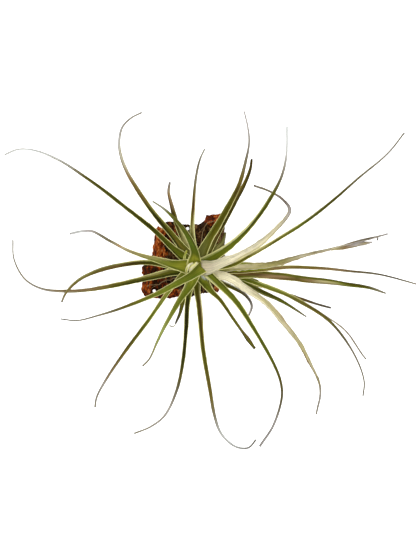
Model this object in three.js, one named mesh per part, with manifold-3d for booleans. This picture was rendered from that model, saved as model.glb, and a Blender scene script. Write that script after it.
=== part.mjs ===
// Tillandsia purpurea growing on a slab of bark.
//
// Sizes are in millimetres. The origin is on the flat back of the bark, straight below the
// middle of the plant. +Z points away from the bark, +Y along its grain and +X to the right.
// Every leaf is a thin channelled blade that leaves the stem, arches over and hangs at its tip.

import * as THREE from "three";
import { mergeVertices } from "three/addons/utils/BufferGeometryUtils.js";
import Module from "manifold-3d";

const wasm = await Module();
wasm.setup();

// Stem and roots
const STEM_FOOT = 10.5;
const STEM_TOP = 44.4;
const STEM_PROFILE = [[7.2, 10.5], [6.6, 11.8], [5.3, 13.5], [4.8, 20], [4.3, 29], [3.8, 37], [3.2, 42.6], [1.9, 44.4]];
const STEM_SIDES = 14;
const ROOT_DIAMETER = 1.2;
const ROOT_SIDES = 6;
const ROOT_STEPS = 12;
const ROOT_CLEARANCE = 0.75;
const ROOT_FEELERS = [[0, 0], [0.9, 0], [-0.9, 0], [0, 0.9], [0, -0.9]];
const ROOT_SUNK = 0.5;
const ROOT_START = 3;

// Blades
const FOOT_GAP = 0.4;
const BLADE_AT_FOOT = 0.9;
const BLADE_AT_TIP = 0.6;
const TIP_WIDTH = 0.8;
const FLARE_MIDDLE = 0.86;
const FLARE_REACH = 0.05;
const CHANNEL = 0.16;
const CLASP_END = 15;
const FURLED_SHARE = 0.45;
const FURL_END = 11;
const STATION_SPACING = 11;
const STATIONS_ADDED = 3;
const STATIONS_LEAST = 5;
const STATION_CROWDING = 1.25;
const BLADE_ACROSS = [-1, -1 / 3, 1 / 3, 1];

// A blade rises more steeply the higher it grows: degrees above level at these two heights.
const RISE_LOW = { height: 14, angle: 22 };
const RISE_HIGH = { height: 42, angle: 62 };

// Bark slab
const BARK_MIDDLE = [0, 3];
const BARK_THICKNESS = 11;
const BARK_SECTOR = 5.5;
const BARK_TOP_RINGS = 11;
const BARK_SIDE_RINGS = 4;
const BARK_BACK_RINGS = 3;
const WIRE_HOLE_DIAMETER = 2.8;
const WIRE_HOLES = [[-7.1, 30.6], [-34.4, -20.4]];
const WIRE_HOLE_SIDES = 16;
const STEM_SEAT_DIAMETER = 16;
const STEM_SEAT_FLOOR = 10.1;
const STEM_SEAT_SIDES = 24;
const ABOVE_ALL = 60;
const BARK_RING_CROWDING = 0.85;
const BARK_RIM_SHARE = 0.8;
const BARK_RIM_LEAST = 5;
const BARK_SIDE_WAVE = 0.6;
const BARK_BACK_INSET = 1;

// Crossed waves that roughen the bark: radians per millimetre along x and along y, and phase
const BARK_WAVES = [[0.61, 0.05, 0.6], [1.13, -0.21, 2.1], [0.37, 0.43, 4.2], [-0.29, 0.83, 1.1]];
const BARK_WAVE_HEIGHT = 1.7;

const TONES = {
  young: { color: 0xc9cf86, roughness: 0.6 },
  fresh: { color: 0x78893a, roughness: 0.55 },
  green: { color: 0x56682f, roughness: 0.6 },
  olive: { color: 0x5f5a2f, roughness: 0.65 },
  dry: { color: 0xcfc6a4, roughness: 0.85 },
  stem: { color: 0x6a5238, roughness: 0.85 },
  bark: { color: 0x7a3a1c, roughness: 0.95 },
};

// Leaves from the crown down. heights: where the midrib leaves the stem, the pull of its far
// half, and its tip. blade: width at the foot, how long it holds that width, and how fast it
// tapers. flare: extra width where a dry blade has opened near its end. twist: degrees by the
// tip. rise: degrees above level at the foot. route: the midrib seen from above.
const LEAVES = [
  { name: "heart_leaf_1", tone: "young", foot: [-0.5, 1.9], heights: [44.9, 53, 56], blade: [3.2, 1, 0.6], twist: 10,
    route: [[-2.5, 1.1], [-4.5, -1.3], [-5.7, -4.2]] },
  { name: "heart_leaf_2", tone: "young", foot: [-2.1, -0.6], heights: [44.6, 52, 51], blade: [3, 1, 0.7], twist: 0,
    route: [[-4.2, -1.4], [-6.6, -4.2], [-7.4, -7]] },
  { name: "leaf_01", tone: "fresh", foot: [2, 0.4], heights: [44.8, 88, 62], blade: [7.8, 1, 2.3], twist: 15,
    route: [[-1, -2.4], [-5, -7], [-17, -14], [-31, -22], [-51, -30.5], [-75, -38.5], [-93, -43], [-107, -42]] },
  { name: "leaf_02", tone: "fresh", heights: [42.6, 108, 110], blade: [7.6, 1, 1.15], twist: -20,
    route: [[-1, 11], [-6, 23], [-14, 34], [-24, 44], [-33, 50]] },
  { name: "dry_leaf_1", tone: "dry", heights: [40.55, 70, 52], blade: [8.4, 1.2, 1.75], twist: 0,
    route: [[13, 0], [27, 5], [41, 12.7], [54, 20.8], [60, 25.6], [70, 36], [74, 44], [69, 52], [59, 59], [46, 64]] },
  { name: "leaf_03", tone: "fresh", heights: [40.1, 84, 76], blade: [10.4, 1.3, 4.6], twist: 20,
    route: [[-17, 1], [-32, 5], [-52, 11.5], [-67, 19.5], [-81, 27], [-89, 27], [-99, 25]] },
  { name: "leaf_04", tone: "green", heights: [37, 78, 70], blade: [8, 1, 2.3], twist: 15,
    route: [[-5, -15], [-13, -28], [-22, -43], [-31, -61.5], [-37, -73.5], [-42, -79]] },
  { name: "leaf_05", tone: "fresh", heights: [38.6, 74, 50], blade: [8, 1, 2.9], twist: 30,
    route: [[13.6, -10], [30, -26], [42.8, -44.5], [59, -72], [66.5, -90], [68, -103], [62, -126], [51, -144]] },
  { name: "leaf_06", tone: "fresh", heights: [36.7, 82, 86], blade: [7.4, 1, 2.15], twist: -25,
    route: [[13, 8], [29, 18], [43, 31], [58, 51.5], [67, 69.5], [71, 87], [71.5, 109]] },
  { name: "leaf_07", tone: "olive", heights: [31.3, 66, 46], blade: [5.6, 1, 2], twist: -30,
    route: [[-17, 13], [-36, 31], [-60, 50], [-84, 68], [-108, 84], [-128, 92], [-142, 93], [-153, 89]] },
  { name: "leaf_08", tone: "fresh", heights: [34.8, 92, 98], blade: [5.8, 1, 2.1], twist: 20,
    route: [[-2, 16], [-3, 30], [-2, 48], [0, 68], [3, 82], [7, 91]] },
  { name: "dry_leaf_2", tone: "dry", heights: [34.9, 46, 26], blade: [7, 1.2, 1.4], twist: 25,
    route: [[13, -6], [27, -10], [41, -18], [53, -27], [71, -46], [87, -69], [98, -92], [100, -105], [98, -120]] },
  { name: "leaf_09", tone: "green", heights: [33.2, 72, 68], blade: [9.6, 1.2, 5], tipWidth: 1.8, twist: -15,
    route: [[10.5, -18], [19.5, -27], [29.5, -42], [38.5, -54.5], [46.5, -65.5]] },
  { name: "leaf_10", tone: "olive", heights: [33, 82, 84], blade: [7, 1.6, 2.2], twist: 15,
    route: [[8, 17], [20.5, 38], [32.8, 61], [38, 78], [41.6, 96], [40.6, 109], [38, 121]] },
  { name: "leaf_11", tone: "olive", heights: [31.4, 52, 30], blade: [5.4, 1, 1.4], twist: 20,
    route: [[1, -19], [2.8, -35], [5.5, -63], [9.5, -87], [15, -119], [21, -135], [32, -145], [42, -146], [48, -140]] },
  { name: "leaf_12", tone: "olive", heights: [29.4, 60, 44], blade: [3.6, 1, 0.95], twist: -20,
    route: [[-10, -6], [-21, -19], [-36.5, -41.5], [-56, -67], [-72, -91], [-79.5, -105], [-81, -113]] },
  { name: "leaf_13", tone: "green", heights: [29.4, 66, 56], blade: [6.2, 1, 1.5], twist: 20,
    route: [[-14, 18], [-31, 39], [-44, 57], [-56, 77], [-61, 94], [-59, 109], [-52, 117], [-43, 122]] },
  { name: "leaf_14", tone: "green", heights: [31.5, 62, 54], blade: [4.4, 1, 1.65], twist: -25,
    route: [[15, -1], [29, 1], [43, 8.5], [66.5, 21.8], [98.5, 43.8], [129.5, 69.8], [154.5, 91.5], [166, 106]] },
  { name: "leaf_15", tone: "olive", heights: [30, 62, 60], blade: [3.8, 1, 0.3], twist: -15,
    route: [[10, 11], [19, 29], [29, 47], [38.5, 64], [43.5, 77], [44.5, 85]] },
  { name: "dry_leaf_3", tone: "dry", heights: [28.6, 44, 36], blade: [5.8, 2, 2.2], flare: 3.2, twist: 20,
    route: [[15, -2], [34, -1], [55, 1], [83, 7.8], [115, 14.5], [136, 20.5], [154, 26]] },
  { name: "leaf_16", tone: "olive", heights: [27, 64, 52], blade: [4.4, 1, 0.63], twist: 15,
    route: [[-17, -1], [-37, 2.8], [-56, 1.4], [-76, -3.5], [-92, -10.8], [-103, -21.5], [-107, -29]] },
  { name: "leaf_17", tone: "green", heights: [26, 44, 22], blade: [5.3, 1, 1.65], twist: 25,
    route: [[-4, -15], [-7, -31], [-8, -51], [-10, -75], [-15, -99], [-25, -120], [-37, -130], [-50, -136]] },
  { name: "leaf_18", tone: "olive", heights: [24, 50, 51], blade: [5, 1, 0.8], twist: 10,
    route: [[-6, 13], [-11.5, 24], [-16, 35.5], [-20, 50], [-22, 59], [-21, 67]] },
  { name: "leaf_19", tone: "olive", rise: 38, heights: [27.1, 42, 34], blade: [5, 1, 1.8], twist: 25,
    route: [[15, -3], [34, -4], [53, -2.5], [83, -0.8], [115, -3], [148, -7], [180, -15]] },
  { name: "leaf_20", tone: "olive", heights: [25.6, 36, 22], blade: [5.2, 1, 0.3], twist: 0,
    route: [[8, 7], [15, 13], [21, 19], [24, 27]] },
  { name: "leaf_21", tone: "green", heights: [22, 40, 26], blade: [6.8, 1, 2.1], twist: -25,
    route: [[-17, -4], [-37, -9], [-69, -16], [-101, -20], [-124, -18], [-138, -10], [-147, 6], [-148, 21]] },
  { name: "leaf_22", tone: "olive", heights: [24.2, 38, 32], blade: [6.4, 1, 0.66], twist: -20,
    route: [[15, -4], [34, -6.5], [59, -7.5], [91, -11.5], [120, -14.8], [140, -18], [153, -22]] },
  { name: "leaf_23", tone: "green", rise: 33, heights: [22.5, 40, 41.5], blade: [2.8, 1, 0.5], twist: 0,
    route: [[15, -4], [34, -8], [50, -12]] },
  { name: "leaf_24", tone: "green", heights: [20, 35, 31], blade: [3.2, 1, 0.6], twist: 10,
    route: [[-5, -15], [-10, -27], [-12.8, -38], [-16.5, -46.5]] },
  { name: "leaf_25", tone: "green", rise: 30, heights: [21.2, 34, 26], blade: [4.4, 2.2, 2.6], twist: 20,
    route: [[15, -4], [34, -8.5], [55.5, -16], [79.5, -26], [103.5, -41], [119.5, -58.5], [131.2, -78.4], [136, -94],
      [135, -105]] },
  { name: "leaf_26", tone: "green", rise: 26, heights: [19.7, 32, 28], blade: [4.4, 2, 1], twist: 10,
    route: [[15, -6], [34, -11], [53, -21], [69, -28], [89, -41]] },
  { name: "dry_leaf_4", tone: "dry", rise: 23, heights: [18.3, 30, 30], blade: [2, 1, 0.4], twist: 0,
    route: [[15, -6], [35, -11], [56, -17], [76, -24], [92, -29], [109, -33]] },
  { name: "dry_leaf_5", tone: "dry", rise: 18, heights: [16.9, 26, 22], blade: [2.4, 1, 0.5], twist: 20,
    route: [[15, -6], [36, -10], [60, -18], [84, -28], [104, -40], [120, -52], [138, -75]] },
  { name: "leaf_27", tone: "olive", rise: 12, heights: [14.9, 20, 12], blade: [3.8, 1, 0.6], twist: 0,
    route: [[12, -9], [26, -15.6], [39, -22.8], [45, -32], [42, -42]] },
];

// Bases of old leaves round the foot of the stem: direction in degrees, height of the foot, length
const SHEATH_WIDTH = 6.4;
const SHEATH_SUNK = 0.5;
const SHEATH_FLARE = 1.5;
const SHEATH_EDGE = 0.6;
const SHEATH_STEPS = 4;
const SHEATH_POINT = 0.3;
const SHEATH_ROOTED = 2;
const SHEATHS = [
  [15, 11, 3.5], [70, 11, 6], [125, 11, 6.5], [180, 11, 7], [235, 11, 6], [290, 11, 3.2],
  [45, 14.5, 7], [98, 15, 6.5], [155, 14.5, 6.5], [210, 14, 6], [262, 13.5, 4.5],
];

// Roots, seen from above, as they lie over the bark
const ROOTS = [
  [[2, 5], [3.5, 14], [4.5, 22], [6, 30], [10, 35], [15, 37]],
  [[-3, 5], [-9, 12], [-17, 17], [-26, 21], [-31, 25]],
  [[-5, 1], [-13, 2], [-22, 0], [-31, 4], [-38, 2]],
  [[-4, -4], [-12, -9], [-22, -11], [-32, -15], [-40, -16]],
  [[0, -5], [-3, -12], [-10, -17], [-15, -21]],
  [[4, -4], [9, -9], [12, -15], [15, -18]],
  [[5, 1], [12, 3], [17, 8], [19, 16]],
];

// Outline of the bark, anticlockwise from its right edge
const BARK_OUTLINE = [
  [23, 8], [23, 16], [23, 25], [23, 32], [21, 43], [13, 42], [8, 41], [7, 37], [2, 34], [-5, 34], [-12, 34],
  [-17, 36], [-21, 36], [-25, 36], [-27.5, 30.5], [-31.5, 33.5], [-33, 28], [-34, 21], [-35, 16], [-36, 9], [-40, 4],
  [-45, -1], [-44, -6], [-43, -12], [-45, -18], [-43, -24], [-38, -26], [-30, -26.5], [-21, -26], [-13, -25],
  [-3, -24.5], [3, -23], [9, -22], [14, -20], [17, -21], [19, -18], [20, -11], [23, -2],
];

// Swells and hollows of the bark: middle, reach along x and y, and height
const BARK_SWELLS = [
  { at: [-31, 19], reach: [5.5, 17], height: 8 },
  { at: [13, 36], reach: [9, 9], height: 10 },
  { at: [-39, -9], reach: [6, 9], height: 5.5 },
  { at: [-40, -20], reach: [5, 6], height: 4 },
  { at: [-24, -19], reach: [7, 5], height: 4.5 },
  { at: [-24, -2], reach: [6, 5], height: -2.5 },
  { at: [-10, 29], reach: [10, 6], height: -3.5 },
  { at: [-34, -20.5], reach: [3, 3], height: -4 },
  { at: [14, -17], reach: [6, 5], height: 2 },
  { at: [20, 12], reach: [4, 14], height: 3 },
];

function clamp01(value) {
  return Math.min(1, Math.max(0, value));
}

function smooth(from, to, value) {
  const t = clamp01((value - from) / (to - from));
  return t * t * (3 - 2 * t);
}

function degrees(angle) {
  return angle * Math.PI / 180;
}

function stemRadius(height) {
  for (let i = 1; i < STEM_PROFILE.length; i += 1) {
    const [r0, z0] = STEM_PROFILE[i - 1];
    const [r1, z1] = STEM_PROFILE[i];
    if (height <= z1) {
      return r0 + (r1 - r0) * clamp01((height - z0) / (z1 - z0));
    }
  }
  return STEM_PROFILE[STEM_PROFILE.length - 1][0];
}

// Closed body from rings of the same number of points; a ring's second half is split the other
// way, so that both faces of a thin blade have the same diagonals.
function loft(rings) {
  const count = rings[0].length;
  const positions = rings.flat().flatMap((p) => [p.x, p.y, p.z]);
  const index = [];
  for (let i = 0; i + 1 < rings.length; i += 1) {
    for (let k = 0; k < count; k += 1) {
      const a = i * count + k;
      const b = i * count + (k + 1) % count;
      const c = a + count;
      const d = b + count;
      if (k < count / 2) {
        index.push(a, d, b, a, c, d);
      } else {
        index.push(a, c, b, b, c, d);
      }
    }
  }
  const last = (rings.length - 1) * count;
  for (let k = 0; k + 1 < count / 2; k += 1) {
    const far = count - 1 - k;
    index.push(k, k + 1, far, k + 1, far - 1, far);
    index.push(last + k, last + far, last + k + 1, last + k + 1, last + far, last + far - 1);
  }
  const geometry = new THREE.BufferGeometry();
  geometry.setAttribute("position", new THREE.Float32BufferAttribute(positions, 3));
  geometry.setIndex(index);
  return geometry;
}

function toSolid(geometry) {
  const bare = geometry.clone();
  bare.deleteAttribute("normal");
  bare.deleteAttribute("uv");
  const merged = mergeVertices(bare, 1e-4);
  return new wasm.Manifold(new wasm.Mesh({
    numProp: 3,
    vertProperties: new Float32Array(merged.attributes.position.array),
    triVerts: new Uint32Array(merged.index.array),
  }));
}

function toGeometry(solid) {
  const mesh = solid.getMesh();
  const geometry = new THREE.BufferGeometry();
  geometry.setAttribute("position", new THREE.Float32BufferAttribute(mesh.vertProperties, 3));
  geometry.setIndex(Array.from(mesh.triVerts));
  return geometry;
}

function named(name, geometry, tone) {
  geometry.computeVertexNormals();
  const mesh = new THREE.Mesh(geometry, new THREE.MeshStandardMaterial({ ...TONES[tone], metalness: 0 }));
  mesh.name = name;
  return mesh;
}

// Leaves

function riseAt(height) {
  const share = (height - RISE_LOW.height) / (RISE_HIGH.height - RISE_LOW.height);
  return THREE.MathUtils.lerp(RISE_LOW.angle, RISE_HIGH.angle, clamp01(share));
}

function footOf(leaf) {
  if (leaf.foot) {
    return leaf.foot;
  }
  const [x, y] = leaf.route[0];
  const reach = stemRadius(leaf.heights[0]) + FOOT_GAP + BLADE_AT_FOOT / 2;
  const scale = reach / Math.hypot(x, y);
  return [x * scale, y * scale];
}

function shapeLeaf(leaf) {
  const points = [footOf(leaf), ...leaf.route].map(([x, y]) => new THREE.Vector3(x, y, 0));
  const plan = new THREE.CatmullRomCurve3(points, false, "centripetal");
  const length = plan.getLength();
  const [seat, far, tip] = leaf.heights;
  const near = seat + Math.tan(degrees(leaf.rise ?? riseAt(seat))) * length / 3;
  const [footWidth, hold, taper] = leaf.blade;
  const height = (q) => (1 - q) ** 3 * seat + 3 * (1 - q) ** 2 * q * near + 3 * (1 - q) * q * q * far + q ** 3 * tip;
  const furl = (q) => (leaf.foot ? THREE.MathUtils.lerp(FURLED_SHARE, 1, smooth(0, FURL_END / length, q)) : 1);
  const tipWidth = leaf.tipWidth ?? TIP_WIDTH;
  const flare = (q) => (leaf.flare ?? 0) * Math.exp(-(((q - FLARE_MIDDLE) / FLARE_REACH) ** 2));
  const width = (q) => tipWidth + (footWidth - tipWidth) * furl(q) * (1 - q ** hold) ** taper + flare(q);
  const thickness = (q) => BLADE_AT_FOOT + (BLADE_AT_TIP - BLADE_AT_FOOT) * q;

  // Point on the middle surface: q runs from foot to tip, u from edge to edge
  function middle(q, u) {
    const step = 0.002;
    const q0 = Math.max(0, q - step);
    const q1 = Math.min(1, q + step);
    const at = plan.getPointAt(q).setZ(height(q));
    const along = plan.getPointAt(q1).setZ(height(q1)).sub(plan.getPointAt(q0).setZ(height(q0))).normalize();
    const level = new THREE.Vector3(-along.y, along.x, 0).normalize();
    const up = new THREE.Vector3().crossVectors(along, level);
    const turn = degrees(leaf.twist) * q;
    const across = level.clone().multiplyScalar(Math.cos(turn)).addScaledVector(up, Math.sin(turn));
    const face = up.clone().multiplyScalar(Math.cos(turn)).addScaledVector(level, -Math.sin(turn));
    const side = u * width(q) / 2;
    const flat = at.clone().addScaledVector(across, side);
    const out = Math.hypot(at.x, at.y);
    const clasp = leaf.foot ? 0 : 1 - smooth(CLASP_END / 2, CLASP_END, out);
    const wrapped = at.clone().applyAxisAngle(new THREE.Vector3(0, 0, 1), side / Math.max(out, 1));
    const lift = CHANNEL * width(q) * u * u * (1 - clasp);
    return flat.lerp(wrapped, clasp).addScaledVector(face, lift);
  }

  function surface(q, u, sign) {
    const step = 0.004;
    const q0 = Math.max(0, q - step);
    const q1 = Math.min(1, q + step);
    const alongQ = middle(q1, u).sub(middle(q0, u));
    const alongU = middle(q, u + step).sub(middle(q, u - step));
    const normal = alongQ.cross(alongU).normalize();
    return middle(q, u).addScaledVector(normal, sign * thickness(q) / 2);
  }
  return { length, surface };
}

function makeLeaf(leaf) {
  const { length, surface } = shapeLeaf(leaf);
  const steps = Math.max(STATIONS_LEAST, Math.ceil(length / STATION_SPACING) + STATIONS_ADDED);
  const rings = [];
  for (let i = 0; i <= steps; i += 1) {
    const q = (i / steps) ** STATION_CROWDING;
    const over = BLADE_ACROSS.map((u) => surface(q, u, 1));
    const under = BLADE_ACROSS.map((u) => surface(q, -u, -1));
    rings.push([...over, ...under]);
  }
  return named(leaf.name, loft(rings), leaf.tone);
}

// Bark

function barkHeight(x, y) {
  let height = BARK_THICKNESS;
  for (const [alongX, alongY, phase] of BARK_WAVES) {
    height += BARK_WAVE_HEIGHT * Math.sin(alongX * x + alongY * y + phase) / BARK_WAVES.length;
  }
  for (const { at, reach, height: swell } of BARK_SWELLS) {
    const far = ((x - at[0]) / reach[0]) ** 2 + ((y - at[1]) / reach[1]) ** 2;
    height += swell * Math.exp(-far);
  }
  return height;
}

// Directions from the middle of the bark and how far it reaches there: the corners of its
// outline, and points on the straight lines between them
function barkEdge() {
  const corners = BARK_OUTLINE.map(([x, y]) => {
    const dx = x - BARK_MIDDLE[0];
    const dy = y - BARK_MIDDLE[1];
    return { angle: (Math.atan2(dy, dx) + 2 * Math.PI) % (2 * Math.PI), reach: Math.hypot(dx, dy) };
  }).sort((a, b) => a.angle - b.angle);
  return corners.flatMap((from, i) => {
    const to = corners[(i + 1) % corners.length];
    const span = (to.angle - from.angle + 2 * Math.PI) % (2 * Math.PI);
    const parts = Math.ceil(span / degrees(BARK_SECTOR));
    return Array.from({ length: parts }, (_, k) => {
      const turn = span * k / parts;
      const cut = from.reach * Math.sin(turn) + to.reach * Math.sin(span - turn);
      return { angle: from.angle + turn, reach: from.reach * to.reach * Math.sin(span) / cut };
    });
  });
}

// Upright cylinder whose foot is at the given height
function upright(diameter, sides, x, y, foot) {
  const cylinder = new THREE.CylinderGeometry(diameter / 2, diameter / 2, ABOVE_ALL, sides);
  return toSolid(cylinder.rotateX(Math.PI / 2).translate(x, y, foot + ABOVE_ALL / 2));
}

// The rings of a sphere are moved to the rough top, the sides and the flat back in turn.
function makeBark() {
  const rows = BARK_TOP_RINGS + BARK_SIDE_RINGS + BARK_BACK_RINGS;
  const edges = barkEdge();
  const geometry = new THREE.SphereGeometry(1, edges.length, rows).rotateX(Math.PI / 2);
  const place = geometry.attributes.position;
  for (let i = 0; i < place.count; i += 1) {
    const turn = Math.atan2(place.getY(i), place.getX(i)) / (2 * Math.PI);
    const { angle, reach: edge } = edges[(Math.round(turn * edges.length) + edges.length) % edges.length];
    const row = Math.round(Math.acos(THREE.MathUtils.clamp(place.getZ(i), -1, 1)) / Math.PI * rows);
    const onTop = row <= BARK_TOP_RINGS;
    const onBack = row >= rows - BARK_BACK_RINGS;
    let reach = edge + BARK_SIDE_WAVE * Math.sin(5 * angle + 2 * row);
    if (onTop) {
      reach = edge * (row / BARK_TOP_RINGS) ** BARK_RING_CROWDING;
    } else if (onBack) {
      reach = (edge - BARK_BACK_INSET) * (rows - row) / BARK_BACK_RINGS;
    }
    const x = BARK_MIDDLE[0] + reach * Math.cos(angle);
    const y = BARK_MIDDLE[1] + reach * Math.sin(angle);
    const rim = Math.max(BARK_RIM_LEAST, barkHeight(x, y) * BARK_RIM_SHARE);
    let level = 0;
    if (onTop) {
      level = THREE.MathUtils.lerp(barkHeight(x, y), rim, smooth(0.8, 1, row / BARK_TOP_RINGS));
    } else if (!onBack) {
      level = rim * (1 - (row - BARK_TOP_RINGS) / BARK_SIDE_RINGS);
    }
    place.setXYZ(i, x, y, level);
  }
  let solid = toSolid(geometry);
  for (const [x, y] of WIRE_HOLES) {
    solid = solid.subtract(upright(WIRE_HOLE_DIAMETER, WIRE_HOLE_SIDES, x, y, -ABOVE_ALL / 2));
  }
  solid = solid.subtract(upright(STEM_SEAT_DIAMETER, STEM_SEAT_SIDES, 0, 0, STEM_SEAT_FLOOR));
  return named("bark", toGeometry(solid), "bark");
}

// Stem and roots

function makeSheath([direction, foot, tall]) {
  const rings = [];
  for (let i = 0; i <= SHEATH_STEPS; i += 1) {
    const t = i / SHEATH_STEPS;
    const z = foot + tall * t;
    const outer = stemRadius(z) + SHEATH_EDGE + SHEATH_FLARE * t * t;
    const inner = Math.max(stemRadius(z) - SHEATH_SUNK, outer - SHEATH_EDGE - SHEATH_ROOTED * (1 - t));
    const half = (SHEATH_POINT + (SHEATH_WIDTH / 2 - SHEATH_POINT) * (1 - t * t)) / outer;
    const at = (u, reach) => {
      const angle = degrees(direction) + u * half;
      return new THREE.Vector3(reach * Math.cos(angle), reach * Math.sin(angle), z);
    };
    rings.push([...BLADE_ACROSS.map((u) => at(u, inner)), ...BLADE_ACROSS.map((u) => at(-u, outer))]);
  }
  return loft(rings);
}

function makeStem(bark) {
  const outline = [[0, STEM_FOOT], ...STEM_PROFILE, [0, STEM_TOP]].map(([r, z]) => new THREE.Vector2(r, z));
  let solid = toSolid(new THREE.LatheGeometry(outline, STEM_SIDES).rotateX(Math.PI / 2));
  const ray = new THREE.Raycaster();
  const down = new THREE.Vector3(0, 0, -1);
  const lift = ROOT_DIAMETER / 2 + ROOT_CLEARANCE;

  // Highest bark under the root's width, so that no facet cuts into it
  function restingHeight(x, y) {
    let top = STEM_FOOT;
    for (const [dx, dy] of ROOT_FEELERS) {
      ray.set(new THREE.Vector3(x + dx, y + dy, ABOVE_ALL), down);
      const [hit] = ray.intersectObject(bark);
      top = Math.max(top, hit ? hit.point.z : 0);
    }
    return top + lift;
  }
  for (const route of ROOTS) {
    const guide = new THREE.CatmullRomCurve3(route.map(([x, y]) => new THREE.Vector3(x, y, 0)));
    const points = [];
    for (let i = 0; i <= ROOT_STEPS; i += 1) {
      const at = guide.getPointAt(i / ROOT_STEPS);
      points.push(at.setZ(restingHeight(at.x, at.y)));
    }
    const start = points[0].clone().multiplyScalar(ROOT_SUNK).setZ(STEM_FOOT + ROOT_START);
    const path = new THREE.CatmullRomCurve3([start, ...points]);
    const section = new THREE.Shape().absarc(0, 0, ROOT_DIAMETER / 2, 0, 2 * Math.PI);
    const tube = new THREE.ExtrudeGeometry(section, {
      steps: ROOT_STEPS + 2, curveSegments: ROOT_SIDES / 2, bevelEnabled: false, extrudePath: path,
    });
    solid = solid.add(toSolid(tube));
  }
  for (const sheath of SHEATHS) {
    solid = solid.add(toSolid(makeSheath(sheath)));
  }
  return named("stem", toGeometry(solid), "stem");
}

const plant = new THREE.Group();
const bark = makeBark();
plant.add(bark, makeStem(bark));
for (const leaf of LEAVES) {
  plant.add(makeLeaf(leaf));
}

export default plant;
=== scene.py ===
"""Tillandsia purpurea with a rosette of channelled leaves, rooted on a slab of bark.

Lengths are in millimetres until mesh_object() turns them into metres, but for the studio at the end.
q runs along a leaf from its foot (0) to its tip (1), and u across it from its right edge (-1) to its
left edge (1).
"""
import math
import bpy
import numpy as np
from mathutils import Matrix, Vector, noise
from mathutils.bvhtree import BVHTree


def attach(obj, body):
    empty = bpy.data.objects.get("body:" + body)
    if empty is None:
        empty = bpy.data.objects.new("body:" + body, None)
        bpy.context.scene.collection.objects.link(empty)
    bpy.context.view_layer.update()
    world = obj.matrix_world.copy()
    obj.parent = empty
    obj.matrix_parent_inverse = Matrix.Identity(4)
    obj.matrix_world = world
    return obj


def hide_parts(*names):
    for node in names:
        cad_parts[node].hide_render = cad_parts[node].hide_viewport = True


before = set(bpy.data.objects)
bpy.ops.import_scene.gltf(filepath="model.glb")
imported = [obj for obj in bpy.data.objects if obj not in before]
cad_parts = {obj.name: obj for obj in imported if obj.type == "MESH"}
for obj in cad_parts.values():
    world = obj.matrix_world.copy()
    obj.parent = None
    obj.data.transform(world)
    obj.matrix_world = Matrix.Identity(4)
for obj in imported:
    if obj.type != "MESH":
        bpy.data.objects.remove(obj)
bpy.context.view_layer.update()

MM = 0.001
UP = np.array([0.0, 0.0, 1.0])
TURN = 2 * math.pi

# Stem, whose profile is given as radius and height
STEM_PROFILE = [
    (7.2, 10.5), (6.6, 11.8), (5.3, 13.5), (4.8, 20), (4.3, 29), (3.8, 37), (3.2, 42.6), (1.9, 44.4),
]
STEM_FOOT = 10.5
STEM_TOP = 44.4
STEM_ROWS = 90
STEM_SIDES = 64
STEM_ROUGHNESS = 0.25
SCAR_DEPTH = 0.12
SCAR_SPACING = 2.1
CROWN_SWELL = 0.8
CROWN_HEIGHTS = (38, 42)

# Feet of blades on the stem; RISE_LOW and RISE_HIGH: height of a foot, and degrees that a blade rises there
FOOT_GAP = 0.4
BLADE_AT_FOOT = 0.9
RISE_LOW = (14, 22)
RISE_HIGH = (42, 62)
FREE_AFTER = (6, 26)
CLASP_END = 15
CLASP_LOOSE = 1.7
CLASP_FLATNESS = 0.75
SHEATH = (1.7, 1.7, 2, 10)
TROUGH = 2.0
TROUGH_REACH = 9
FULL_WIDTH = 8.0

# Widths of blades along their length
FURLED_SHARE = 0.25
FURL_END = 11
FLARE_MIDDLE = 0.88
FLARE_REACH = 0.08
THREAD_WIDTH = 0.95
FULLNESS = 0.45
FULLNESS_MIDDLE = 0.55
FULLNESS_REACH = 0.2

# Cross sections of blades: how far they are folded up, in radians, and how thick they are
FOLD_AT_FOOT = 0.85
FOLD_AT_TIP = 1.4
FOLD_BETWEEN = (0.1, 0.9)
THICK_AT_FOOT = 0.75
THICK_AT_TIP = 0.42
EDGE_SHARE = 0.38
EDGE_SHARPNESS = 2.5

# Irregular blades: number of waves, their shortest and longest length, and their size
SWAY = (3, 30, 90, 0.16)
SWELL = (4, 14, 45, 0.03)
ROLL = (3, 35, 110, math.radians(5))
EDGE = (5, 4, 16, 0.035)
RIPPLE = (4, 3.5, 9)
RIPPLE_SIZE = 0.1
DRY_ROUGHNESS = 2.4
LEAF_SEED = 100

# Mesh lines of blades
STATION_STEP = 1.5
STATIONS_LEAST = 40
STATION_CROWDING = 1.12
ACROSS = 18
EDGE_CROWDING = math.radians(80)
STRIP_EDGE = 0.02
STRIP_HALF = 0.23


def leaf(name, tone, heights, blade, twist, route, **more):
    return dict(name=name, tone=tone, heights=heights, blade=blade, twist=twist, route=route, **more)


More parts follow.
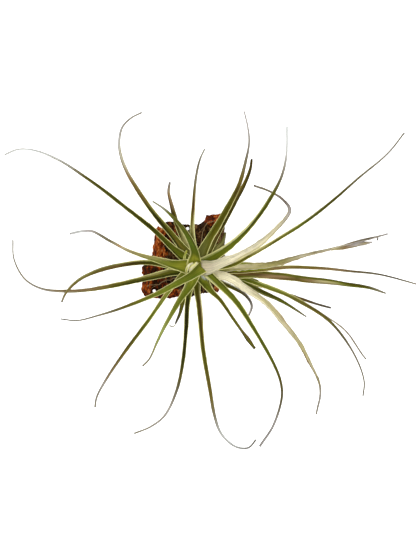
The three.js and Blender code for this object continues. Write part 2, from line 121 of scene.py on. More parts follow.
# Leaves from the crown down, each with:
# heights: where the midrib leaves the stem, the pull of its far half, and its tip
# blade: width at the foot, how long it holds that width, and how fast it tapers
# twist: degrees by the tip
# route: the midrib seen from above
# sheath: extra width of the left and the right half near the foot, where it is widest, and its reach
# full: extra width of the middle; flare: extra width where a blade has opened near its end
# foot: where the midrib starts, if not on the stem's side; rise: degrees above level there
# tip_width: width of the tip, if it isn't as fine as a thread
LEAVES = [
    leaf("heart_leaf_1", "young", (44.9, 48, 50), (5.2, 1, 0.3), 10, [(-1.4, 0.5), (-3.5, -1.8),
         (-5.2, -4.4)], foot=(0.9, 2.6), rise=25),
    leaf("heart_leaf_2", "young", (44.6, 52, 50), (3.8, 1, 0.7), 0, [(-5.6, 0.6), (-7.3, -2.8),
         (-7.6, -6.6)], foot=(-2.6, 2.4)),
    leaf("leaf_01", "fresh", (45.4, 88, 62), (7.8, 1, 2.3), 15, [(-0.8, -5.4), (-4.8, -8.5), (-17, -15),
         (-31, -22), (-51, -30.5), (-75, -38.5), (-93, -43), (-107, -42)], foot=(4.2, -0.8), tip_width=0.8,
         sheath=(2.2, 0, 0, 7)),
    leaf("leaf_02", "fresh", (42.6, 108, 110), (7.6, 1, 1.25), -20, [(-1, 11), (-6, 23), (-14, 34),
         (-24, 44), (-33, 50)], tip_width=0.95, full=0, sheath=(5.5, 1, 0, 4.5)),
    leaf("dry_leaf_1", "dry", (40.55, 70, 52), (8.4, 1.2, 1.95), 0, [(13, 0), (27, 5), (41, 12.7),
         (54, 20.8), (60, 25.6), (70, 36), (74, 44), (69, 52), (59, 59), (46, 64)], tip_width=1.5,
         full=0.15, sheath=(0.4, 3.4, 5, 5)),
    leaf("leaf_03", "fresh", (40.1, 84, 76), (10.4, 1.3, 5.6), 20, [(-17, 1), (-32, 5), (-52, 11.5),
         (-67, 19.5), (-81, 27), (-89, 27), (-99, 25)], tip_width=1.8, full=0.2, sheath=(2.6, 0.3, 2, 7)),
    leaf("leaf_04", "green", (37, 78, 70), (8, 1, 2), 15, [(-5, -15), (-13, -28), (-22, -43), (-31, -61.5),
         (-37, -73.5), (-42, -79)], tip_width=1.15, sheath=(1.8, 1.8, 4, 9)),
    leaf("leaf_05", "fresh", (38.6, 74, 50), (7.2, 1, 2.6), 30, [(13.6, -10), (30, -26), (42.8, -44.5),
         (59, -72), (66.5, -90), (68, -103), (62, -126), (51, -144)], tip_width=1.6, full=0.1,
         sheath=(0.8, -0.9, 2, 8)),
    leaf("leaf_06", "fresh", (36.7, 82, 86), (8, 1, 2.1), -25, [(13, 6.6), (29, 18), (43, 31), (58, 51.5),
         (67, 69.5), (71, 87), (71.5, 109)], tip_width=1.35, sheath=(0.4, 1.9, 2, 10)),
    leaf("leaf_07", "olive", (31.3, 66, 46), (5.6, 1, 2), -30, [(-17, 13), (-36, 31), (-60, 50), (-84, 68),
         (-108, 84), (-128, 92), (-142, 93), (-153, 89)], tip_width=1.15, full=0.5,
         sheath=(1.8, 1.8, 6, 10)),
    leaf("leaf_08", "fresh", (34.8, 92, 98), (5.8, 1, 2.1), 20, [(-2, 16), (-3, 30), (-2, 48), (0, 68),
         (3, 82), (7, 91)], tip_width=1.4),
    leaf("dry_leaf_2", "dry", (34.9, 46, 26), (7, 1.2, 1.4), 25, [(13, -6), (27, -10), (41, -18), (53, -27),
         (71, -46), (87, -69), (98, -92), (100, -105), (98, -120)], tip_width=1.1, full=0.4),
    leaf("leaf_09", "green", (33.2, 72, 68), (9.6, 1.2, 5.2), -15, [(10.5, -18), (19.5, -27), (29.5, -42),
         (38.5, -54.5), (46.5, -65.5)], tip_width=1.8, flare=1.6),
    leaf("leaf_10", "olive", (33, 82, 84), (7, 1.6, 2.2), 15, [(8, 17), (20.5, 38), (32.8, 61), (38, 78),
         (41.6, 96), (40.6, 109), (38, 121)], full=0.2),
    leaf("leaf_11", "olive", (31.4, 52, 30), (5.4, 1, 1.4), 20, [(1, -19), (2.8, -35), (5.5, -63),
         (9.5, -87), (15, -119), (21, -135), (32, -145), (42, -146), (48, -140)], tip_width=1.2),
    leaf("leaf_12", "olive", (29.4, 60, 44), (3.7, 1, 0.85), -20, [(-10, -6), (-21, -19), (-36.5, -41.5),
         (-56, -67), (-72, -91), (-79.5, -105), (-81, -113)], tip_width=1.15),
    leaf("leaf_13", "green", (29.4, 66, 56), (6.2, 1, 1.5), 20, [(-14, 18), (-31, 39), (-44, 57), (-56, 77),
         (-61, 94), (-59, 109), (-52, 117), (-43, 122)], tip_width=1.15, sheath=(1.8, 1.8, 6, 10)),
    leaf("leaf_14", "green", (31.5, 62, 54), (4.4, 1, 1.65), -25, [(15, -1), (29, 1), (43, 8.5),
         (66.5, 21.8), (98.5, 43.8), (129.5, 69.8), (154.5, 91.5), (166, 106)], tip_width=1.05),
    leaf("leaf_15", "olive", (30, 62, 60), (4.1, 1, 0.4), -15, [(10, 11), (19, 29), (29, 47), (38.5, 64),
         (43.5, 77), (44.5, 85)], tip_width=1.3),
    leaf("dry_leaf_3", "dry", (28.6, 44, 36), (6.4, 2.4, 3.4), 20, [(15, -2), (34, -1), (55, 1), (83, 7.8),
         (108, 13.2), (118, 16.2), (127, 19.4), (136, 22), (154, 26.4)], tip_width=1, full=0, flare=1),
    leaf("leaf_16", "olive", (27, 64, 52), (4.4, 1, 0.63), 15, [(-17, -1), (-37, 2.8), (-56, 1.4),
         (-76, -3.5), (-92, -10.8), (-103, -21.5), (-107, -29)], tip_width=1.3),
    leaf("leaf_17", "green", (26, 44, 22), (5.3, 1, 1.65), 25, [(-4, -15), (-7, -31), (-8, -51), (-10, -75),
         (-15, -99), (-25, -120), (-37, -130), (-50, -136)], tip_width=1.15),
    leaf("leaf_18", "olive", (24, 50, 51), (5, 1, 0.8), 10, [(-6, 13), (-11.5, 24), (-16, 35.5), (-20, 50),
         (-22, 59), (-21, 67)], tip_width=1.5),
    leaf("leaf_19", "olive", (27.1, 42, 34), (5, 1, 1.8), 25, [(15, -3), (34, -4), (53, -2.5), (83, -0.8),
         (115, -3), (148, -7), (180, -15)], rise=38, tip_width=1.05),
    leaf("leaf_20", "olive", (25.6, 36, 22), (5.2, 1, 0.6), 0, [(8, 7), (15, 13), (21, 19), (24, 27)]),
    leaf("leaf_21", "green", (22, 40, 26), (7.2, 1, 1.95), -25, [(-17, -4), (-37, -9), (-69, -16),
         (-101, -20), (-124, -18), (-138, -10), (-147, 6), (-148, 21)], tip_width=0.9),
    leaf("leaf_22", "olive", (24.2, 38, 32), (7.2, 1, 0.62), -20, [(15, -4), (34, -6.5), (59, -7.5),
         (91, -11.5), (120, -14.8), (140, -18), (153, -22)]),
    leaf("leaf_23", "green", (22.5, 40, 41.5), (2.8, 1, 0.5), 0, [(15, -4), (34, -8), (50, -12)], rise=33),
    leaf("leaf_24", "green", (20, 35, 31), (4, 1, 0.5), 10, [(-5, -15), (-10, -27), (-12.8, -38),
         (-16.5, -46.5)]),
    leaf("leaf_25", "green", (21.2, 34, 26), (4.4, 2.2, 2.6), 20, [(15, -4), (34, -8.5), (55.5, -16),
         (79.5, -26), (103.5, -41), (119.5, -58.5), (131.2, -78.4), (136, -94), (135, -105)], rise=30,
         full=0.25),
    leaf("leaf_26", "green", (19.7, 32, 28), (4.4, 2, 1), 10, [(15, -6), (34, -11), (53, -21), (69, -28),
         (89, -41)], rise=26),
    leaf("dry_leaf_4", "dry", (18.3, 30, 30), (2, 1, 0.4), 0, [(15, -6), (35, -11), (56, -17), (76, -24),
         (92, -29), (109, -33)], rise=23, tip_width=1.5),
    leaf("dry_leaf_5", "dry", (16.9, 26, 22), (1.6, 1, 1.2), 20, [(15, -6), (36, -10), (60, -18), (84, -28),
         (104, -40), (120, -52), (138, -75)], rise=18, tip_width=1, full=0),
    leaf("leaf_27", "olive", (14.9, 20, 12), (3.8, 1, 0.75), 0, [(12, -9), (26, -15.6), (39, -22.8),
         (45, -32), (42, -42)], rise=12, full=0.7),
]

# Torn strips of dry_leaf_3 and small tips of other leaves, written as in LEAVES; of: the leaf they belong to
SHREDS = [
    leaf("torn_half", "dry", (47.2, 42, 39.5), (3.9, 3.6, 1), 10, [(113.5, 14.1), (124.4, 16.3),
         (131, 17.6), (134.3, 18), (141.5, 19)], of="dry_leaf_3", foot=(108, 13), rise=-8),
    leaf("torn_hook", "dry", (38.6, 38, 36), (1.2, 1, 0.5), 0, [(145.2, 23), (146, 22.2), (145.4, 20.6)],
         of="dry_leaf_3", foot=(143, 22.4), rise=-10),
    leaf("young_tip", "fresh", (42.5, 46, 48), (3.2, 1, 0.8), 0, [(-9.3, 6), (-8.7, 8.8), (-7.4, 12.6)],
         of="leaf_02", foot=(-9.4, 3.4), rise=30),
    leaf("curled_tip", "green", (31, 31, 30.5), (1, 1, 0.4), 0, [(-17.8, -48.4), (-20, -48.8),
         (-21.6, -47.4)], of="leaf_24", foot=(-16.4, -46.2), rise=0, tip_width=0.5),
]

# Bases of old leaves round the foot of the stem: direction in degrees, height of the foot, length.
# Their fray and curl are waves, written as above.
SHEATH_WIDTH = 6.4
SHEATH_FLARE = 1.5
SHEATH_EDGE = 0.6
SHEATH_NARROWEST = 0.5
SHEATH_SUNK = 0.3
SHEATH_THICKNESS = (0.9, 0.3)
SHEATH_FRAY = (6, 0.12, 0.7, 0.12)
SHEATH_CURL = (3, 0.5, 1.5, 0.15)
SHEATH_ROWS = 26
SHEATH_COLUMNS = 25
SHEATH_SEED = 11
SHEATHS = [
    (15, 11, 3.5), (70, 11, 6), (125, 11, 6.5), (180, 11, 7), (235, 11, 6), (290, 11, 3.2),
    (45, 14.5, 7), (98, 15, 6.5), (155, 14.5, 6.5), (210, 14, 6), (262, 13.5, 4.5),
]

# Roots, seen from above, as they lie over the bark. Their radii are given at the start and at the tip,
# ROOT_LIFT in radii, and ROOT_BITE is how far they may sink into a bump of the bark.
ROOT_RADII = (0.55, 0.25)
ROOT_SIDES = 10
ROOT_START = 13.5
ROOT_STEP = 0.7
ROOT_POINTS_LEAST = 12
ROOT_WANDER = (3, 4, 12)
ROOT_WANDER_SIZE = 0.4
ROOT_LIFT = 0.6
ROOT_BITE = 0.2
ROOT_SMOOTHING = 5
ROOT_SEED = 7
BRANCHES = 3
BRANCH_RADII = (0.22, 0.1)
BRANCH_SIDES = 6
BRANCH_SEAT_RADIUS = 0.2
BRANCH_WANDER_SIZE = 0.3
BRANCH_LOWEST = 2
ROOTS = [
    [(2, 5), (3.5, 14), (4.5, 22), (6, 30), (10, 35), (15, 37)],
    [(-3, 5), (-9, 12), (-17, 17), (-26, 21), (-31, 25)],
    [(-5, 1), (-13, 2), (-22, 0), (-31, 4), (-38, 2)],
    [(-4, -4), (-12, -9), (-22, -11), (-32, -15), (-40, -16)],
    [(0, -5), (-3, -12), (-10, -17), (-15, -21)],
    [(4, -4), (9, -9), (12, -15), (15, -18)],
    [(5, 1), (12, 3), (17, 8), (19, 16)],
]

# Bark slab; bumps are given as their size and octaves, for noise that runs down its sides to a depth
BARK_MIDDLE = (0, 3)
BARK_RADIUS = 34
BARK_THICKNESS = 11
BARK_SECTORS = 420
BARK_TOP_RINGS = 104
BARK_SIDE_RINGS = 22
BARK_BACK_RINGS = 8
BARK_RING_CROWDING = 0.85
BARK_RIM_SHARE = 0.8
BARK_RIM_LEAST = 5
BARK_RIM_ROUGHNESS = 0.6
BARK_RIM_FROM = 0.8
BARK_SOFT_FROM = 0.9
BARK_EDGE_ROUGHNESS = 0.9
BARK_EDGE_BUMPS = (3.2, 4)
BARK_WALL_BUMPS = (3.0, 4)
BARK_WALL_DEPTH = 9
BARK_RELIEF_DEPTH = 8
BARK_BACK_INSET = 1
WIRE_HOLE_DIAMETER = 2.8
WIRE_HOLE_SIDES = 48
WIRE_HOLES = [(-7.1, 30.6), (-34.4, -20.4)]
STEM_SEAT_DIAMETER = 16
STEM_SEAT_SIDES = 64
STEM_SEAT_FLOOR = 10.1
ABOVE_ALL = 60
BARK_WAVES = [(0.61, 0.05, 0.6), (1.13, -0.21, 2.1), (0.37, 0.43, 4.2), (-0.29, 0.83, 1.1)]
BARK_WAVE_HEIGHT = 1.7
BARK_OUTLINE = [
    (23, 8), (23, 16), (23, 25), (23, 32), (21, 43), (13, 42), (8, 41), (7, 37), (2, 34), (-5, 34), (-12, 34),
    (-17, 36), (-21, 36), (-25, 36), (-27.5, 30.5), (-31.5, 33.5), (-33, 28), (-34, 21), (-35, 16), (-36, 9),
    (-40, 4), (-45, -1), (-44, -6), (-43, -12), (-45, -18), (-43, -24), (-38, -26), (-30, -26.5), (-21, -26),
    (-13, -25), (-3, -24.5), (3, -23), (9, -22), (14, -20), (17, -21), (19, -18), (20, -11), (23, -2),
]

# Swells and hollows of the bark: middle, reach along x and y, and height
BARK_SWELLS = [
    ((-31, 19), (5.5, 17), 8), ((13, 36), (9, 9), 10), ((-39, -9), (6, 9), 5.5), ((-40, -20), (5, 6), 4),
    ((-24, -19), (7, 5), 4.5), ((-24, -2), (6, 5), -2.5), ((-10, 29), (10, 6), -3.5),
    ((-34, -20.5), (3, 3), -4), ((14, -17), (6, 5), 2), ((20, 12), (4, 14), 3),
]

# Where the bark is weathered to rust and orange, and where it has broken into lumps
RUST_PATCHES = [
    ((-32, 15), (7, 19), 1.3), ((-37, -18), (11, 11), 1.3), ((-41, -4), (6, 7), 1.1),
    ((-20, -23), (14, 5), 1.1), ((13, 40), (10, 7), 0.9), ((18, -19), (4, 4), 1), ((-19, 30), (7, 8), 0.5),
]
LUMPY_PATCHES = [
    ((-36, -18), (12, 12), 1.2), ((-40, -3), (8, 7), 1), ((-20, -20), (12, 8), 0.8), ((13, 40), (9, 6), 0.8),
]

# Where crumbs stand up on the dark bark, and how far
CRUMB_PATCHES = [((17, 21), (5, 8), 1), ((-20, 33), (5, 5), 0.5)]
CRUMB_RISE = 1.2

# Layers of relief: height, stretch along x, y and z, size of their bumps, and octaves
COARSE_FIBRES = (1.3, (1, 0.15, 0.4), 4.6, 3)
FINE_FIBRES = (0.4, (1, 0.3, 0.5), 1.8, 3)
BROAD_CHUNKS = (2.4, (1, 0.7, 1), 8, 2)
CHUNK_RIDGES = (1.2, (1, 0.6, 1), 6, 3)
CRUMBS = (0.7, (1, 0.6, 1), 2.4, 3)
GRIT = (0.45, (1, 0.5, 1), 1.4, 3)
RIDGE_SHARPNESS = 2.6
WARP_BUMPS = 9
WARP = 3
RUST_SPREAD = 1.5
RUST_FRAY = 0.7
RUST_THRESHOLD = 0.25


def clamp01(value):
    return np.clip(value, 0, 1)


def smooth(low, high, value):
    t = clamp01((value - low) / (high - low))
    return t * t * (3 - 2 * t)


def mix(a, b, share):
    return a + (b - a) * share


def bell(x):
    return np.exp(-(x ** 2))


def hill(x, y, at, reach):
    return np.exp(-(((x - at[0]) / reach[0]) ** 2 + ((y - at[1]) / reach[1]) ** 2))


def unit(vectors):
    return vectors / np.linalg.norm(vectors, axis=-1, keepdims=True)


def circle(sides):
    angles = np.arange(sides) * TURN / sides
    return np.column_stack([np.cos(angles), np.sin(angles)])


def stem_radius(height):
    radii, heights = zip(*STEM_PROFILE)
    return float(np.interp(height, heights, radii))


class Route:
    """A centripetal Catmull-Rom curve through points, read by its share of length"""

    SAMPLES = 200

    def __init__(self, points):
        self.points = np.array(points, float)
        self.t = np.linspace(0, 1, self.SAMPLES + 1)
        steps = np.linalg.norm(np.diff(self.at(self.t), axis=0), axis=1)
        lengths = np.concatenate([[0], np.cumsum(steps)])
        self.length = lengths[-1]
        self.shares = lengths / self.length

    def at(self, t):
        p = self.points
        last = len(p) - 1
        place = np.asarray(t, float) * last
        part = np.minimum(np.floor(place).astype(int), last - 1)
        w = (place - part)[:, None]
        ends = np.vstack([2 * p[0] - p[1], p, 2 * p[-1] - p[-2]])
        p0, p1, p2, p3 = (ends[part + k] for k in range(4))
        pairs = ((p0, p1), (p1, p2), (p2, p3))
        d0, d1, d2 = (np.sum((b - a) ** 2, axis=1)[:, None] ** 0.25 for a, b in pairs)
        start = ((p1 - p0) / d0 - (p2 - p0) / (d0 + d1) + (p2 - p1) / d1) * d1
        end = ((p2 - p1) / d1 - (p3 - p1) / (d1 + d2) + (p3 - p2) / d2) * d1
        c2 = -3 * p1 + 3 * p2 - 2 * start - end
        c3 = 2 * p1 - 2 * p2 + start + end
        return p1 + start * w + c2 * w ** 2 + c3 * w ** 3

    def share(self, q):
        return self.at(np.interp(q, self.shares, self.t))


def waves(rng, count, shortest, longest, size=1.0):
    """A smooth random function of a length, between about -size and size, with waves of these lengths"""
    lengths = rng.uniform(shortest, longest, count)
    phases = rng.uniform(0, TURN, count)
    pairs = list(zip(lengths, phases))
    return lambda s: size * (sum(np.sin(TURN * s / k + p) for k, p in pairs) / math.sqrt(count))


# Meshes


def add_object(name, data):
    made = bpy.data.objects.new(name, data)
    bpy.context.collection.objects.link(made)
    return made


def mesh_object(name, points, faces):
    mesh = bpy.data.meshes.new(name)
    mesh.from_pydata((np.asarray(points) * MM).tolist(), [], faces)
    mesh.update()
    mesh.polygons.foreach_set("use_smooth", [True] * len(mesh.polygons))
    return add_object(name, mesh)


def loft_faces(rings, count):
    """Quads between rings of the same number of points, each end closed by quads between its two halves"""
    faces = []
    for a in range((rings - 1) * count):
        b = a - a % count + (a + 1) % count
        faces.append((a, a + count, b + count, b))
    last = (rings - 1) * count
    for k in range(count // 2 - 1):
        far = count - 1 - k
        faces.append((k, k + 1, far - 1, far))
        faces.append((last + k, last + far, last + far - 1, last + k + 1))
    return faces


def add_vector(mesh, name, values):
    attribute = mesh.attributes.new(name, "FLOAT_VECTOR", "POINT")
    attribute.data.foreach_set("vector", np.asarray(values, np.float32).ravel())


def strip_map(mesh, along, across):
    """A map that lays a long piece out as one straight strip"""
    layer = mesh.uv_layers.new(name="OFBake")
    corners = np.empty(len(mesh.loops), int)
    mesh.loops.foreach_get("vertex_index", corners)
    uv = np.column_stack([along[corners], across[corners]])
    layer.uv.foreach_set("vector", uv.astype(np.float32).ravel())


# Leaf shapes


def bent_round(at, side):
    """Points this far to the left of each place, on an arc round the stem's axis"""
    radius = (np.maximum(np.hypot(at[:, 0], at[:, 1]), 1) * CLASP_LOOSE)[:, None]
    turned = side / radius
    outward = unit(at * [1, 1, 0] + [1e-9, 0, 0])
    sideways = np.cross(UP, outward)
    points = at[:, None] + outward[:, None] * (radius * (np.cos(turned) - 1))[..., None]
    return points + sideways[:, None] * (radius * np.sin(turned))[..., None]


class Leaf:
    """One blade, made from its entry in LEAVES or SHREDS"""

    def __init__(self, spec, seed):
        self.spec = spec
        rng = np.random.default_rng(seed)
        seat = spec["heights"][0]
        first = np.array(spec["route"][0], float)
        reach = stem_radius(seat) + FOOT_GAP + BLADE_AT_FOOT / 2
        foot = spec.get("foot") or tuple(first * reach / np.linalg.norm(first))
        self.route = Route([foot] + spec["route"])
        self.length = self.route.length
        share = clamp01((seat - RISE_LOW[0]) / (RISE_HIGH[0] - RISE_LOW[0]))
        rise = spec.get("rise", mix(RISE_LOW[1], RISE_HIGH[1], share))
        self.near = seat + math.tan(math.radians(rise)) * self.length / 3
        self.full = min(1.0, spec["blade"][0] / FULL_WIDTH)
        self.furled = spec["tone"] == "young" or "of" in spec
        rough = DRY_ROUGHNESS if spec["tone"] == "dry" else 1.0
        self.sway, self.swell, self.roll, self.left_edge, self.right_edge = (
            waves(rng, *lengths, size * rough) for *lengths, size in (SWAY, SWELL, ROLL, EDGE, EDGE))
        self.ripple = waves(rng, *RIPPLE)
        self.ripple_size = RIPPLE_SIZE * (rough - 1)

    def height(self, q):
        seat, far, tip = self.spec["heights"]
        rest = 1 - q
        return rest ** 3 * seat + 3 * rest ** 2 * q * self.near + 3 * rest * q * q * far + q ** 3 * tip

    def width(self, q):
        foot_width, hold, taper = self.spec["blade"]
        tip = self.spec.get("tip_width", THREAD_WIDTH)
        flare = self.spec.get("flare", 0) * bell((q - FLARE_MIDDLE) / FLARE_REACH)
        if self.furled:
            furl = mix(FURLED_SHARE, 1, smooth(0, FURL_END / self.length, q))
            full = 0
        else:
            furl = 1
            full = self.spec.get("full", FULLNESS) * bell((q - FULLNESS_MIDDLE) / FULLNESS_REACH)
        plain = tip + full + (foot_width - tip) * furl * (1 - q ** hold) ** taper
        return plain * (1 + self.swell(q * self.length) * self.free(q)) + flare

    def free(self, q):
        """0 where the blade is held at the stem, 1 further out"""
        return smooth(*FREE_AFTER, q * self.length)

    def sheath(self, q):
        """Extra width of the left and of the right half near the foot, and how deep a trough it is"""
        if self.furled:
            return np.zeros((3, len(q)))
        left, right, middle, reach = self.spec.get("sheath", SHEATH)
        s = q * self.length
        wide = bell((s - middle) / reach) * self.full
        return left * wide, right * wide, TROUGH * bell(s / TROUGH_REACH) * self.full

    def spine(self, q):
        return np.column_stack([self.route.share(q), self.height(q)])

    def section(self, q, u):
        """How far each point of a cross section lies to the left of the midrib, how far it is folded
        up, and how far the sheath's trough lifts it"""
        parts = (q * self.length, self.free(q), self.width(q) / 2, *self.sheath(q))
        s, free, half, left, right, trough = (part[:, None] for part in parts)
        fold = mix(FOLD_AT_FOOT, FOLD_AT_TIP, smooth(*FOLD_BETWEEN, q))[:, None]
        side = np.sin(fold * u) / np.sin(fold) * (half + np.where(u > 0, left, right))
        ragged = np.where(u > 0, self.left_edge(s), self.right_edge(s))
        side = side * (1 + ragged * np.abs(u) ** 3 * free)
        lift = (1 - np.cos(fold * u)) / np.sin(fold) * half
        lift = lift + self.ripple_size * half * self.ripple(s + 2 * u) * free
        return side, lift, trough * u ** 2

    def middle(self, q, u):
        """The points half way through the blade"""
        step = 0.002
        s = q * self.length
        free = self.free(q)
        along = unit(self.spine(np.minimum(q + step, 1)) - self.spine(np.maximum(q - step, 0)))
        level = unit(np.column_stack([-along[:, 1], along[:, 0], np.zeros(len(q))]))
        up = np.cross(along, level)
        at = self.spine(q) + level * (self.sway(s) * free)[:, None]
        turn = (math.radians(self.spec["twist"]) * q + self.roll(s) * free)[:, None]
        across = level * np.cos(turn) + up * np.sin(turn)
        face = up * np.cos(turn) - level * np.sin(turn)
        side, lift, trough = self.section(q, u)
        out = np.hypot(at[:, 0], at[:, 1])
        clasp = np.zeros(len(q)) if "foot" in self.spec else 1 - smooth(CLASP_END / 2, CLASP_END, out)
        flat = at[:, None] + across[:, None] * side[..., None]
        placed = mix(flat, bent_round(at, side), clasp[:, None, None])
        placed = placed + face[:, None] * (lift * (1 - CLASP_FLATNESS * clasp)[:, None])[..., None]
        return placed + UP * trough[..., None]

    def thickness(self, q, u):
        thick = np.minimum(mix(THICK_AT_FOOT, THICK_AT_TIP, q), self.width(q))[:, None]
        return thick * mix(1, EDGE_SHARE, np.abs(u) ** EDGE_SHARPNESS)

    def faces(self):
        """q and u of the mesh lines, and the points of the upper and of the under face"""
        stations = max(STATIONS_LEAST, int(self.length / STATION_STEP))
        q = np.linspace(0, 1, stations + 1) ** STATION_CROWDING
        u = np.sin(np.linspace(-1, 1, ACROSS + 1) * EDGE_CROWDING) / math.sin(EDGE_CROWDING)
        mid = self.middle(q, u[None, :])
        normal = unit(np.cross(np.gradient(mid, axis=0), np.gradient(mid, axis=1)))
        half = self.thickness(q, u[None, :])[..., None] / 2
        return q, u, mid + normal * half, mid - normal * half


def leaf_piece(blade, material):
    q, u, over, under = blade.faces()
    count = 2 * len(u)
    points = np.concatenate([over, under[:, ::-1]], axis=1).reshape(-1, 3)
    piece = mesh_object(blade.spec["name"] + "_blade", points, loft_faces(len(q), count))
    place_q = np.repeat(q, count)
    place_u = np.tile(np.concatenate([u, u[::-1]]), len(q))
    below = np.tile(np.repeat([0.0, 1.0], len(u)), len(q))
    width = np.repeat(blade.width(q), count)
    add_vector(piece.data, "blade", np.column_stack([place_q, place_u, below]))
    add_vector(piece.data, "blade_mm", np.column_stack([place_q * blade.length, place_u * width / 2, below]))
    strip = (place_u + 1) * STRIP_HALF
    strip_map(piece.data, place_q, np.where(below > 0, 1 - STRIP_EDGE - strip, STRIP_EDGE + strip))
    piece.data.materials.append(material)
    return piece


# Materials

PALETTE = {
    "lime": (172, 174, 58), "spring": (144, 150, 44), "leaf": (116, 126, 32), "grass": (100, 108, 22),
    "fern": (84, 92, 16), "deep": (70, 74, 12), "bottle": (55, 57, 6), "night": (44, 43, 3),
    "sage": (130, 136, 54), "lichen": (120, 120, 58), "olive": (106, 105, 30), "moss": (86, 83, 12),
    "khaki": (98, 89, 34), "umber": (72, 59, 12), "bronze": (124, 108, 42), "rosy": (150, 123, 84),
    "brown": (106, 84, 42), "chestnut": (92, 56, 30), "flax": (164, 156, 96), "tan": (162, 148, 106),
    "straw": (188, 180, 122), "putty": (206, 198, 168), "cream": (224, 214, 174), "ivory": (244, 236, 202),
    "butter": (226, 218, 142), "pale": (206, 205, 148), "ash": (146, 138, 112), "smoke": (112, 104, 76),
    "slate": (90, 86, 74), "mauve": (148, 136, 126), "lilac": (190, 183, 178), "silver": (226, 230, 226),
    "amber": (178, 118, 56), "willow": (156, 164, 88), "green": (108, 128, 34), "shell": (246, 232, 204),
    "milk": (255, 250, 228), "hem": (255, 250, 172), "wheat": (204, 194, 140), "soot": (22, 13, 6),
    "char": (46, 29, 13), "husky": (112, 82, 44), "umbra": (82, 48, 20), "dust": (146, 120, 84),
    "oxblood": (70, 24, 8), "rust": (118, 47, 12), "orange": (184, 84, 8), "peach": (240, 176, 108),
    "wood": (112, 88, 58), "husk": (150, 126, 84), "root": (156, 128, 92),
}
PAINT_SHADE = 0.9


def linear(name):
    """Linear colour of a palette name, a shade darker because the studio light is bright"""
    shares = [value / 255 for value in PALETTE[name]]
    light = [c / 12.92 if c <= 0.04045 else ((c + 0.055) / 1.055) ** 2.4 for c in shares]
    return [PAINT_SHADE * c for c in light] + [1.0]


class Value:
    """An output of a shader node, which can be reckoned with like a number"""

    def __init__(self, shader, socket):
        self.shader = shader
        self.socket = socket

    def __add__(self, other):
        return self.shader.math("ADD", self, other)

    def __sub__(self, other):
        return self.shader.math("SUBTRACT", self, other)

    def __mul__(self, other):
        return self.shader.math("MULTIPLY", self, other)

    def __truediv__(self, other):
        return self.shader.math("DIVIDE", self, other)


class Shader:
    """Short ways to add and join the nodes of one material"""

    def __init__(self, name, roughness, specular):
        self.material = bpy.data.materials.new(name)
        self.material.use_nodes = True
        self.tree = self.material.node_tree
        self.surface = self.tree.nodes["Principled BSDF"]
        self.surface.inputs["Roughness"].default_value = roughness
        self.surface.inputs["Specular IOR Level"].default_value = specular

    def put(self, socket, value):
        if isinstance(value, Value):
            self.tree.links.new(value.socket, socket)
        else:
            socket.default_value = linear(value) if isinstance(value, str) else value

    def node(self, kind, inputs=(), **settings):
        """A new node, with values for its inputs by their number or name"""
        made = self.tree.nodes.new(kind)
        for key, value in settings.items():
            setattr(made, key, value)
        for socket, value in dict(inputs).items():
            self.put(made.inputs[socket], value)
        return made

    def add(self, kind, inputs=(), output=0, **settings):
        return Value(self, self.node(kind, inputs, **settings).outputs[output])

    def math(self, operation, *values):
        return self.add("ShaderNodeMath", enumerate(values), operation=operation)

    def range(self, value, low, high, to_low=0.0, to_high=1.0):
        values = (value, low, high, to_low, to_high)
        return self.add("ShaderNodeMapRange", enumerate(values), interpolation_type="SMOOTHSTEP")

    def blend(self, share, a, b, kind="MIX"):
        return self.add("ShaderNodeMix", {0: share, 6: a, 7: b}, 2, data_type="RGBA", blend_type=kind)

    def ramp(self, value, text):
        """A colour ramp written as places in percent, each with its palette name"""
        words = text.split()
        made = self.node("ShaderNodeValToRGB", {0: value})
        elements = made.color_ramp.elements
        for _ in range(len(words) // 2 - len(elements)):
            elements.new(1.0)
        for element, place, colour in zip(elements, words[::2], words[1::2]):
            element.position = int(place) / 100
            element.color = linear(colour)
        return Value(self, made.outputs[0])

    def vector(self, *parts):
        return self.add("ShaderNodeCombineXYZ", enumerate(parts))

    def apart(self, vector):
        made = self.node("ShaderNodeSeparateXYZ", {0: vector})
        return [Value(self, output) for output in made.outputs]

    def noise(self, place, scale, detail, rough=0.55):
        inputs = {"Vector": place, "Scale": scale, "Detail": detail, "Roughness": rough}
        return self.add("ShaderNodeTexNoise", inputs)

    def attribute(self, name):
        return self.apart(self.add("ShaderNodeAttribute", output="Vector", attribute_name=name))

    def place(self):
        """The place on the object, in millimetres"""
        metres = self.add("ShaderNodeTexCoord", output="Object")
        return self.add("ShaderNodeVectorMath", {0: metres, "Scale": 1 / MM}, operation="SCALE")

    def fibres(self):
        """Noise that is drawn out upwards"""
        x, y, z = self.apart(self.place())
        return self.noise(self.vector(x * 2, y * 2, z * 0.25), 1, 4)

    def shaded(self, colour, value, shades):
        """The colour made darker or lighter by a value between 0 and 1"""
        grey = self.range(value, 0.2, 0.8, *shades)
        return self.blend(1.0, colour, self.vector(grey, grey, grey), "MULTIPLY")

    def finish(self, colour, height, strength, distance):
        inputs = {"Strength": strength, "Distance": distance * MM, "Height": height}
        self.put(self.surface.inputs["Base Color"], colour)
        self.put(self.surface.inputs["Normal"], self.add("ShaderNodeBump", inputs))
        return self.material


